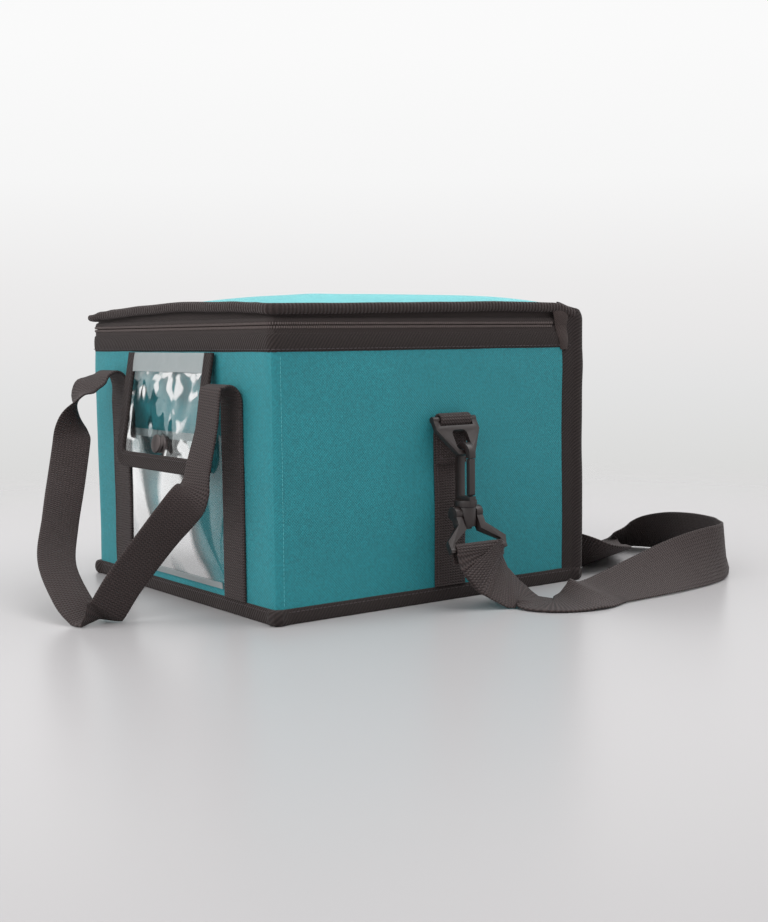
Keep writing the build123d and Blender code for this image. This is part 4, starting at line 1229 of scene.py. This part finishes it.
HANGING_HALF = [
    ((-76.0, -139.0, 145.0), (1, 0, 0)),
    ((-77.0, -141.5, 134.0), (1, 0, 0)),
    ((-79.0, -146.0, 117.0), (1, -0.1, 0)),
    ((-80.0, -151.0, 96.0), (0.93, -0.37, 0)),
    ((-78.0, -156.5, 74.0), (0.8, -0.6, 0)),
    ((-72.0, -161.5, 52.0), (0.6, -0.8, 0)),
    ((-60.0, -166.0, 31.0), (0.3, -0.95, 0)),
    ((-43.0, -169.0, 14.0), (0.1, -1, 0)),
    ((-22.0, -171.0, 4.0), (0, -1, 0)),
]
HANGING_LINE = HANGING_HALF + [((0, -171.5, 1.5), (0, -1, 0))]
HANGING_LINE += [((-x, y, z), (-wx, wy, wz)) for (x, y, z), (wx, wy, wz)
                 in reversed(HANGING_HALF)]


def face_run(x, low, high):
    """Webbing stitched flat down the front face, following the cloth."""
    stations = []
    steps = 12
    for i in range(steps + 1):
        z = low + (high - low) * i / steps
        stations.append((x, -HALF_Y - 1.0 - cloth_relief(x, -HALF_Y, z), z))
    return stations


def build_handles():
    """One length of webbing on each face: up one side, round the loop, down the other."""
    for side, turn, body, line in (("front", 1, "front_handle", HANDLE_LINE),
                                   ("rear", -1, "rear_handle", HANGING_LINE)):
        left = [(p, (1, 0, 0)) for p in face_run(-HANDLE_X, 9.8, 128.0)]
        left += [((-HANDLE_X, y, z), (1, 0, 0)) for y, z in STUB]
        drop = 6.5 if side == "front" else 0.0
        line = line[:-1] + [((HANDLE_X, PIVOT_Y, PIVOT_Z - drop), (-1, 0, 0))]
        right = [((HANDLE_X, y, z - drop), (-1, 0, 0)) for y, z in reversed(STUB)]
        right += [(p, (-1, 0, 0)) for p in reversed(face_run(HANDLE_X, 9.8, 128.0 - drop))]
        stations = left + line + right
        stations = [((turn * p[0], turn * p[1], p[2]), (turn * w[0], turn * w[1], w[2]))
                    for p, w in stations]
        piece, _ = webbing(side + "_handle_webbing", stations, WEB_WIDTH, WEB_THICK, step=2.2)
        finish_piece(piece, "webbing", None,
                     (side + "_handle", side + "_webbing_left", side + "_webbing_right"))
        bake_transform(piece)
        for run_x in (-HANDLE_X, HANDLE_X):
            for edge in (-10.3, 10.3):
                x = run_x + edge
                path = []
                for i in range(31):
                    z = 11 + 116 * i / 30
                    y = -HALF_Y - 1.95 - cloth_relief(run_x, -HALF_Y, z)
                    path.append(((turn * x, turn * y, z), (0, -turn, 0)))
                name = "%s_run_stitches_%d" % (side, (run_x > 0) * 2 + (edge > 0))
                stitch_row(name, path, 3.2, 0.6)


def build_side_anchors():
    """Webbing up the middle of each side, folded through the hanging ring and sewn back."""
    radius = 2.2 + 0.3 + 0.9
    for side, sign in (("right", 1), ("left", -1)):
        ring_x = 126.5
        points = []
        for i in range(11):
            z = 9.8 + 97 * i / 10
            y = ANCHOR_Y
            out = 1.0 + cloth_relief(sign * HALF_X, y, z)
            points.append((HALF_X + out, z))
        points.append((HALF_X + 1.3, 113.5))
        for angle in range(165, -111, -25):
            a = math.radians(angle)
            points.append((ring_x + radius * math.cos(a), 117 + radius * math.sin(a)))
        points += [(HALF_X + 3.1, 109.0), (HALF_X + 2.9, 105.0), (HALF_X + 2.8, 97.0),
                   (HALF_X + 2.7, 89.0)]
        stations = [((sign * x, ANCHOR_Y, z), (0, 1, 0)) for x, z in points]
        piece, _ = webbing("side_anchor_" + side, stations, WEB_WIDTH, WEB_THICK, step=1.6)
        finish_piece(piece, "webbing", "bag", ("side_webbing_" + side,))
        for row, (y0, z0, y1, z1) in enumerate([
            (-1.5, 92, 17.5, 92), (-1.5, 104, 17.5, 104), (-1.5, 92, 17.5, 104),
            (-1.5, 104, 17.5, 92), (-1.5, 92, -1.5, 104), (17.5, 92, 17.5, 104),
        ]):
            x = sign * (HALF_X + 3.75)
            path = [((x, y0, z0), (sign, 0, 0)), ((x, y1, z1), (sign, 0, 0))]
            stitch_row("anchor_cross_%s_%d" % (side, row), path, 2.6, 0.6)
        for edge in (-10.3, 10.3):
            path = []
            for i in range(21):
                z = 11 + 76 * i / 20
                x = HALF_X + 1.95 + cloth_relief(sign * HALF_X, ANCHOR_Y, z)
                path.append(((sign * x, ANCHOR_Y + edge, z), (sign, 0, 0)))
            stitch_row("anchor_run_%s_%d" % (side, edge > 0), path, 3.2, 0.6)


def leaning(x, y, lean, nx, ny, lift=0.4):
    """A strap station whose lower edge rests at (x, y), leaning toward (nx, ny)."""
    a = math.radians(lean)
    across = Vector((math.sin(a) * nx, math.sin(a) * ny, math.cos(a))).normalized()
    bottom = Vector((x, y, lift + STRAP_THICK / 2 * math.sin(a)))
    return tuple(bottom + across * (STRAP_WIDTH / 2)), tuple(across)


def between_edges(bottom, top):
    """A strap station from its two edge points."""
    a = Vector(bottom)
    b = Vector(top)
    return tuple((a + b) / 2), tuple((b - a).normalized())


YOKE_BAR = (150.27, 8.0, 37.3)
WRAP_RADIUS = 3.0
REAR_Y = 133.0


def yoke_wrap():
    """Where the strap comes up behind the yoke's bar and goes round it."""
    out = [(-0.45 * WRAP_RADIUS, -3.0 * WRAP_RADIUS), (-0.95 * WRAP_RADIUS, -1.0)]
    for angle in range(170, -31, -40):
        a = math.radians(angle)
        out.append((WRAP_RADIUS * math.cos(a), WRAP_RADIUS * math.sin(a)))
    return out


def strap_halves():
    x0, y0, z0 = YOKE_BAR
    right = [((x0 + dx, y0, z0 + dz), (0, 1, 0)) for dx, dz in yoke_wrap()]
    right += [
        ((x0 + WRAP_RADIUS, y0, z0 - 4.5), (0, 1, 0)),
        between_edges((156, -7.5, 27), (152.5, 30.5, 27)),
        between_edges((159, -2.0, 20), (150.5, 35.5, 20.5)),
        between_edges((165, 8, 9.5), (149, 42, 14.5)),
        between_edges((169, 16.5, 5), (151, 50, 7.5)),
        between_edges((180, 23.5, 2.2), (155, 52, 1.8)),
        between_edges((196, 28, 1.6), (166, 53, 2.0)),
        between_edges((205, 45, 1.0), (172, 60, 5)),
        between_edges((207, 63, 0.9), (173, 71, 11)),
        leaning(203.5, 84, 77, -1, 0),
        leaning(203, 108, 67, -1, 0),
        leaning(202, 132, 54, -1, 0),
        leaning(199, 156, 40, -0.99, -0.12),
        leaning(195, 178, 24, -0.97, -0.22),
        leaning(188, 198, 8, -0.9, -0.4),
        leaning(181, 210, 5, -0.85, -0.5),
        leaning(171, 224, 11, -0.83, -0.56),
        leaning(154, 243, 17, -0.59, -0.81),
        leaning(125, 258, 22, -0.39, -0.92),
        leaning(96, 267, 30, -0.19, -0.98),
        leaning(70, 270, 42, 0.06, -1),
        leaning(50, 264, 53, 0.45, -0.89),
        leaning(37, 252, 62, 0.75, -0.66),
        leaning(25, 232, 70, 0.99, -0.15),
        leaning(31, 206, 75, 0.81, 0.58),
        leaning(56, 184, 76, 0.56, 0.83),
        leaning(76, 171, 72, 0.46, 0.89),
        leaning(87, 163, 68, 0.75, 0.66),
        leaning(89, 153, 58, 1, 0.1),
        leaning(84, 144, 36, 0.8, -0.5, 1.0),
        leaning(76, 137, 12, 0.4, -0.9, 2.0),
        leaning(64, REAR_Y, 0, 0, -1, 5.0),
        leaning(20, REAR_Y, 0, 0, -1, 5.0),
        leaning(-20.6, REAR_Y, 0, 0, -1, 5.0),
    ]
    left = [
        leaning(-19.4, REAR_Y, 0, 0, -1, 5.0),
        leaning(-50, REAR_Y, 0, 0, -1, 5.0),
        leaning(-85, REAR_Y, 0, 0, -1, 5.0),
        leaning(-106, 134, 2, 0, -1, 2.0),
        leaning(-122, 136, 4, -0.4, -0.9),
        leaning(-134, 129, 8, 0.6, -0.8),
        leaning(-143, 110, 20, 1, -0.1),
        leaning(-152, 88, 38, 1, 0),
        leaning(-161, 66, 58, 1, 0.1),
        between_edges((-169, 46, 2.5), (-139, 62, 13)),
        between_edges((-170, 26, 4), (-145, 51, 13)),
        between_edges((-165, 8, 9.5), (-149, 42, 14.5)),
        between_edges((-159, -2.0, 20), (-150.5, 35.5, 20.5)),
        between_edges((-156, -7.5, 27), (-152.5, 30.5, 27)),
        ((-x0 - WRAP_RADIUS, y0, z0 - 4.5), (0, 1, 0)),
    ]
    left += [((-x0 - dx, y0, z0 + dz), (0, 1, 0)) for dx, dz in reversed(yoke_wrap())]
    return right, left


def build_strap():
    """The shoulder strap in two lengths that meet behind the adjuster."""
    right, left = strap_halves()
    piece, frames = webbing("strap_right", right, STRAP_WIDTH, STRAP_THICK, step=2.6)
    finish_piece(piece, "strap_webbing", None, ("shoulder_strap",))
    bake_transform(piece)
    strap_end(frames, "right")
    piece, frames = webbing("strap_left", left, STRAP_WIDTH, STRAP_THICK, step=2.6)
    finish_piece(piece, "strap_webbing", None, ())
    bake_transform(piece)
    strap_end(frames[::-1], "left")


def strap_end(frames, side):
    """The doubled end of the strap: a second layer from the bar down and its stitches."""
    outer = 1 if side == "right" else -1
    hanging = [f for f in frames[6:40] if 19.0 < f[0].z < 33.5 and outer * f[0].x > 152.0]
    layer = []
    for middle, across, normal in hanging:
        away = normal if normal.x * outer > 0 else -normal
        layer.append((tuple(middle + away * (STRAP_THICK * 1.05)), tuple(across)))
    piece, _ = webbing("strap_fold_" + side, layer, STRAP_WIDTH - 0.6, STRAP_THICK, step=1.5)
    finish_piece(piece, "strap_webbing", "clip_" + side, ())
    for row in (1, 2):
        middle, across, normal = hanging[-1 - row]
        away = normal if normal.x * outer > 0 else -normal
        spot = middle + away * (STRAP_THICK * 1.6)
        path = [(tuple(spot + across * (share * 17.5)), tuple(away)) for share in (-1, 0, 1)]
        stitch_row("strap_fold_stitches_%s_%d" % (side, row), path, 2.4, 0.6,
                   body="clip_" + side)


# Pocket and flap

POCKET_HALF = 62.8
POCKET_LOW = 14.0
POCKET_HIGH = 110.0
POCKET_OUT = 5.0


def build_pocket():
    """The clear document pocket: a loose sheet sewn on at the sides and bottom."""
    def sheet_place(u, v):
        a = 2 * u - 1
        x = POCKET_HALF * a
        z = POCKET_LOW + (POCKET_HIGH - POCKET_LOW) * v
        swell = (1 - abs(a) ** 9) * (1 - (1 - v) ** 9)
        wave = 2.2 * noise.noise(Vector((x * 0.017 + z * 0.008, 3.0, z * 0.016)))
        out = 0.6 + (POCKET_OUT - 0.6 + wave) * swell
        return x, -HALF_Y - out - cloth_relief(x, -HALF_Y, z) * (1 - swell), z

    front = grid_piece("pocket_front", 90, 70, sheet_place,
                       lambda u, v: (u * 125, v * 96))
    face_out(front, lambda c: Vector((0, -1, 0)))
    thicken(front, 0.5)
    finish_piece(front, "pocket_vinyl", "bag", ("pocket_sheet",))

    for name, x0, x1, z0, z1 in (
        ("pocket_hem", -POCKET_HALF + 4, POCKET_HALF - 4, POCKET_HIGH - 5, POCKET_HIGH),
        ("pocket_seam", -POCKET_HALF + 2, POCKET_HALF - 2, POCKET_LOW, POCKET_LOW + 4),
    ):
        def hem(u, v, x0=x0, x1=x1, z0=z0, z1=z1):
            x = x0 + (x1 - x0) * u
            z = z0 + (z1 - z0) * v
            _, y, _ = sheet_place((x / POCKET_HALF + 1) / 2,
                                  (z - POCKET_LOW) / (POCKET_HIGH - POCKET_LOW))
            return x, y - 0.7, z

        strip = grid_piece(name, 90, 3, hem, lambda u, v: (u * 125, v * 5))
        face_out(strip, lambda c: Vector((0, -1, 0)))
        thicken(strip, 0.5)
        finish_piece(strip, "hem_vinyl", "bag", ())


HINGE_Y = -125.4
HINGE_Z = 160.6
HANG = math.radians(9.5)
FLAP_HALF = 58.0
FLAP_LONG = 77.0
FLAP_ROUND = 14.0
BINDING = 10.5


def flap_place(across, down, out):
    """A point on the hanging flap: across it, down from its hinge, out from its middle."""
    tuck = -0.5
    y = HINGE_Y - down * math.sin(HANG) - out * math.cos(HANG) + tuck
    z = HINGE_Z - down * math.cos(HANG) + out * math.sin(HANG)
    return across, y, z


def flap_outline():
    """The binding's middle line: down one side, along the bottom, up the other."""
    inset = BINDING / 2
    half = FLAP_HALF - inset
    radius = FLAP_ROUND - inset
    low = FLAP_LONG - inset
    points = [(-half, -0.3 + i * (low - radius + 0.3) / 12) for i in range(12)]
    for i in range(9):
        a = math.pi / 2 * i / 8
        points.append((-half + radius - radius * math.cos(a), low - radius + radius * math.sin(a)))
    for i in range(1, 12):
        points.append((-half + radius + (2 * half - 2 * radius) * i / 12, low))
    mirrored = [(-a, d) for a, d in reversed(points[:21])]
    return points + mirrored


def build_flap():
    """The pocket's flap: a crinkled clear window with a sewn black binding round it."""
    half_a = FLAP_HALF - BINDING + 1.5
    low = FLAP_LONG - BINDING + 1.5

    def window(u, v):
        a = -half_a + 2 * half_a * u
        d = -0.2 + (low + 0.2) * v
        held = min(1, 8 * u, 8 * (1 - u), 6 * (1 - v), 10 * v)
        crease = noise.noise(Vector((a * 0.035, d * 0.06, 0.3)))
        fine = noise.noise(Vector((a * 0.11, d * 0.09, 4.4)))
        return flap_place(a, d, held * (1.5 * crease + 0.5 * fine))

    clear = grid_piece("flap_clear", 90, 66, window, lambda u, v: (u * 100, v * 70))
    face_out(clear, lambda c: Vector((0, -1, 0)))
    thicken(clear, 0.4)
    finish_piece(clear, "flap_vinyl", "pocket_flap", ("flap_window",))

    def top_hem(u, v):
        a = -half_a + 2 * half_a * u
        return flap_place(a, -0.2 + 12.7 * v, 0.9 + 0.12 * math.sin(v * math.pi))

    strip = grid_piece("flap_hem", 40, 6, top_hem, lambda u, v: (u * 100, v * 13))
    face_out(strip, lambda c: Vector((0, -1, 0)))
    thicken(strip, 0.5)
    finish_piece(strip, "hem_vinyl", "pocket_flap", ())

    outline = flap_outline()
    stations = []
    for i, (a, d) in enumerate(outline):
        a0, d0 = outline[max(i - 1, 0)]
        a1, d1 = outline[min(i + 1, len(outline) - 1)]
        length = math.hypot(a1 - a0, d1 - d0)
        inward = ((d1 - d0) / length, -(a1 - a0) / length)
        width = (Vector(flap_place(a + inward[0], d + inward[1], 0))
                 - Vector(flap_place(a, d, 0)))
        wave = 0.35 * noise.noise(Vector((a * 0.03, d * 0.04, 8.8)))
        stations.append((flap_place(a, d, wave), tuple(width)))
    binding, _ = webbing("flap_edge", stations, BINDING, 2.2, step=2.0)
    finish_piece(binding, "twill_binding", "pocket_flap", ("flap_binding",))
    for i, shift in enumerate((2.9,)):
        path = []
        for (a, d), station in zip(outline, stations):
            inward = Vector(station[1]).normalized()
            spot = Vector(station[0]) + inward * shift + Vector((0, -1.25, 0.2))
            path.append((tuple(spot), (0, -math.cos(HANG), math.sin(HANG))))
        stitch_row("flap_stitches_%d" % i, path, 2.8, 0.5, "sewing_thread",
                   "pocket_flap")


# Hard parts

def softened(node, material, body, bevel=0.45, angle=35, swell=0.0, above=0.0):
    """A copy of a moulded or cast piece, its edges rounded, fuller above a height if asked."""
    source = [o for o in bpy.data.objects if o.get("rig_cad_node") == node]
    source = source[0] if source else bpy.data.objects[node]
    piece = source.copy()
    piece.data = source.data.copy()
    piece.name = node + "_shape"
    piece.data.name = node + "_shape"
    for key in list(piece.keys()):
        del piece[key]
    piece.parent = None
    piece.matrix_world = Matrix.Identity(4)
    piece.data.materials.clear()
    bpy.context.scene.collection.objects.link(piece)
    piece.hide_render = False
    piece.hide_viewport = False
    make_active(piece)
    bpy.ops.object.mode_set(mode="EDIT")
    bpy.ops.mesh.select_all(action="SELECT")
    bpy.ops.mesh.remove_doubles(threshold=0.00001)
    bpy.ops.mesh.dissolve_limited(angle_limit=math.radians(2))
    bpy.ops.mesh.normals_make_consistent(inside=False)
    bpy.ops.object.mode_set(mode="OBJECT")
    if swell:
        bpy.ops.object.mode_set(mode="EDIT")
        bpy.ops.mesh.select_all(action="DESELECT")
        bpy.ops.object.mode_set(mode="OBJECT")
        for vertex in piece.data.vertices:
            vertex.select = vertex.co.z > above * MM
        bpy.ops.object.mode_set(mode="EDIT")
        bpy.ops.transform.shrink_fatten(value=swell * MM)
        bpy.ops.object.mode_set(mode="OBJECT")
    apply_modifier(piece, "BEVEL", width=bevel * MM, segments=2, limit_method="ANGLE",
                   angle_limit=math.radians(angle), use_clamp_overlap=True)
    return finish_piece(piece, material, body, (node,), smooth=38)


def build_clips():
    """The hanging ring, snap hook, gate, swivel barrel and yoke on each side."""
    for side in ("right", "left"):
        for node, body, bevel in (
            ("ring", "clip", 0.5), ("barrel", "clip", 0.35), ("yoke", "clip", 0.6),
            ("hook", "hook", 0.6), ("gate", "gate", 0.4),
        ):
            swell = 1.3 if node == "yoke" else 0.0
            softened(node + "_" + side, "acetal", body + "_" + side, bevel,
                     swell=swell, above=YOKE_BAR[2] + 3.5)


def build_small_parts():
    """The zip's slider and pull, the press studs, and the strap's adjuster."""
    softened("zip_slider", "black_nickel", "slider", 0.3)
    softened("zip_pull", "black_nickel", "pull", 0.3)
    softened("strap_adjuster", "acetal", "adjuster", 0.6)
    softened("flap_stud", "black_nickel", "pocket_flap", 0.5)
    softened("pocket_stud", "black_nickel", "bag", 0.5)


# Stage

CAMERA_PLACE = Vector((792.02, -540.93, 169.13))
CAMERA_YAW = math.radians(53.424)
CAMERA_DOWN = math.radians(5.195)
CAMERA_ROLL = math.radians(-0.5808)
FOCAL_PIXELS = 1355.73
FRAME_HEIGHT = 922


def build_stage():
    """Pale floor and backdrop, soft lights, and the camera where the photograph was taken."""
    deselect_all()
    bpy.ops.mesh.primitive_plane_add(size=60.0, location=(0, 0, 0))
    floor = bpy.context.object
    floor.name = "floor"
    material, tree, output = new_material("studio_floor")
    place = add_node(tree, "ShaderNodeTexCoord")
    apart = add_node(tree, "ShaderNodeVectorMath", {"operation": "LENGTH"},
                     {0: place.outputs["Object"]})
    shader = add_node(tree, "ShaderNodeBsdfPrincipled",
                      {"Roughness": 0.3, "Base Color": linear("#a6a4a5")})
    gone = add_node(tree, "ShaderNodeBsdfTransparent")
    near = add_node(tree, "ShaderNodeMapRange",
                    {"interpolation_type": "SMOOTHSTEP", "From Min": 0.34, "From Max": 0.95,
                     "To Min": 1.0, "To Max": 0.0}, {"Value": apart.outputs["Value"]})
    laid = add_node(tree, "ShaderNodeMixShader",
                    links={"Fac": near.outputs["Result"], 1: gone.outputs["BSDF"],
                           2: shader.outputs["BSDF"]})
    tree.links.new(laid.outputs["Shader"], output.inputs["Surface"])
    floor.data.materials.append(material)

    world = bpy.data.worlds.new("studio")
    bpy.context.scene.world = world
    world.use_nodes = True
    tree = world.node_tree
    tree.nodes.clear()
    path = add_node(tree, "ShaderNodeLightPath")
    way = add_node(tree, "ShaderNodeTexCoord")
    height = add_node(tree, "ShaderNodeSeparateXYZ", links={"Vector": way.outputs["Generated"]})
    rise = add_node(tree, "ShaderNodeMapRange",
                    {"From Min": -0.43, "From Max": 0.27, "To Min": 0.0, "To Max": 1.0},
                    {"Value": height.outputs["Z"]})
    sky = add_node(tree, "ShaderNodeValToRGB", links={"Fac": rise.outputs["Result"]})
    sky.color_ramp.elements[0].color = linear("#c3c1c2")
    sky.color_ramp.elements[1].color = linear("#fbfbfb")
    for spot, colour in ((0.20, "#c7c6c6"), (0.30, "#c9c8c8"), (0.386, "#d2d1d1"),
                         (0.480, "#dbdbda"), (0.564, "#e3e3e3"), (0.614, "#e8e7e7"),
                         (0.670, "#ecebeb"), (0.776, "#f6f6f6"), (0.90, "#fafafa")):
        sky.color_ramp.elements.new(spot).color = linear(colour)
    seen = add_node(tree, "ShaderNodeBackground", {"Strength": 1.0},
                    {"Color": sky.outputs["Color"]})
    lit = add_node(tree, "ShaderNodeBackground", {"Color": (1, 1, 1, 1), "Strength": 0.9})
    mixed = add_node(tree, "ShaderNodeMixShader",
                     links={"Fac": path.outputs["Is Camera Ray"], 1: lit.outputs["Background"],
                            2: seen.outputs["Background"]})
    output = add_node(tree, "ShaderNodeOutputWorld")
    tree.links.new(mixed.outputs["Shader"], output.inputs["Surface"])

    for name, toward, strength, spread in (
        ("front_sun", (-0.45, -1.0, 0.75), 1.05, 40),
        ("top_sun", (0.25, 0.55, 1.6), 2.0, 55),
    ):
        light = bpy.data.lights.new(name, "SUN")
        light.energy = strength
        light.angle = math.radians(spread)
        lamp = bpy.data.objects.new(name, light)
        lamp.location = toward
        lamp.rotation_euler = (-Vector(toward)).to_track_quat("-Z", "Y").to_euler()
        bpy.context.scene.collection.objects.link(lamp)

    light = bpy.data.lights.new("window", "AREA")
    light.energy = 8.0
    light.size = 0.9
    lamp = bpy.data.objects.new("window", light)
    lamp.location = (0.7, -1.4, 0.9)
    lamp.rotation_euler = (Vector((0, 0, 0.1)) - lamp.location).to_track_quat("-Z", "Y").to_euler()
    bpy.context.scene.collection.objects.link(lamp)

    forward = Vector((-math.sin(CAMERA_YAW) * math.cos(CAMERA_DOWN),
                      math.cos(CAMERA_YAW) * math.cos(CAMERA_DOWN), -math.sin(CAMERA_DOWN)))
    level = Vector((math.cos(CAMERA_YAW), math.sin(CAMERA_YAW), 0))
    upright = level.cross(forward)
    right = level * math.cos(CAMERA_ROLL) + upright * math.sin(CAMERA_ROLL)
    up = upright * math.cos(CAMERA_ROLL) - level * math.sin(CAMERA_ROLL)
    lens = bpy.data.cameras.new("photo_camera")
    lens.sensor_width = 36.0
    lens.lens = FOCAL_PIXELS * lens.sensor_width / FRAME_HEIGHT
    lens.clip_start = 0.01
    lens.clip_end = 20.0
    camera = bpy.data.objects.new("photo_camera", lens)
    columns = Matrix((right, up, -forward)).transposed().to_4x4()
    camera.matrix_world = Matrix.Translation(CAMERA_PLACE * MM) @ columns
    bpy.context.scene.collection.objects.link(camera)
    bpy.context.scene.camera = camera
    bpy.context.scene.view_settings.view_transform = "Standard"


# One operator for each group of pieces

def operator_for(name, label, build):
    """An operator that runs one build function."""
    def execute(self, context):
        build()
        return {"FINISHED"}

    return type("SPECIMEN_BAG_OT_" + name, (bpy.types.Operator,), {
        "bl_idname": "specimen_bag." + name,
        "bl_label": label,
        "__doc__": build.__doc__,
        "execute": execute,
    })


OPERATORS = [
    operator_for("stage", "Studio stage", build_stage),
    operator_for("body", "Body and lining", build_body),
    operator_for("trims", "Bindings and band", build_trims),
    operator_for("lid", "Lid", build_lid),
    operator_for("zip", "Zip", build_zip),
    operator_for("handles", "Handles", build_handles),
    operator_for("anchors", "Side anchors", build_side_anchors),
    operator_for("strap", "Shoulder strap", build_strap),
    operator_for("pocket", "Document pocket", build_pocket),
    operator_for("flap", "Pocket flap", build_flap),
    operator_for("clips", "Strap clips", build_clips),
    operator_for("small_parts", "Slider, studs and adjuster", build_small_parts),
]


class SPECIMEN_BAG_PT_panel(bpy.types.Panel):
    """Lists the sizes, the colours and the pieces."""
    bl_label = "Specimen bag"
    bl_space_type = "VIEW_3D"
    bl_region_type = "UI"
    bl_category = "Specimen bag"

    def draw(self, context):
        for group in (context.scene.specimen_bag_sizes, context.scene.specimen_bag_colours):
            for name in group.__annotations__:
                self.layout.prop(group, name)
        for operator in OPERATORS:
            self.layout.operator(operator.bl_idname)


CLASSES = [SpecimenBagSizes, SpecimenBagColours, *OPERATORS, SPECIMEN_BAG_PT_panel]


def register():
    for cls in CLASSES:
        bpy.utils.register_class(cls)
    bpy.types.Scene.specimen_bag_sizes = bpy.props.PointerProperty(type=SpecimenBagSizes)
    bpy.types.Scene.specimen_bag_colours = bpy.props.PointerProperty(type=SpecimenBagColours)


def unregister():
    del bpy.types.Scene.specimen_bag_colours
    del bpy.types.Scene.specimen_bag_sizes
    for cls in reversed(CLASSES):
        bpy.utils.unregister_class(cls)


def main():
    register()
    for operator in OPERATORS:
        getattr(bpy.ops.specimen_bag, operator.bl_idname.split(".")[1])()


if __name__ == "__main__":
    main()
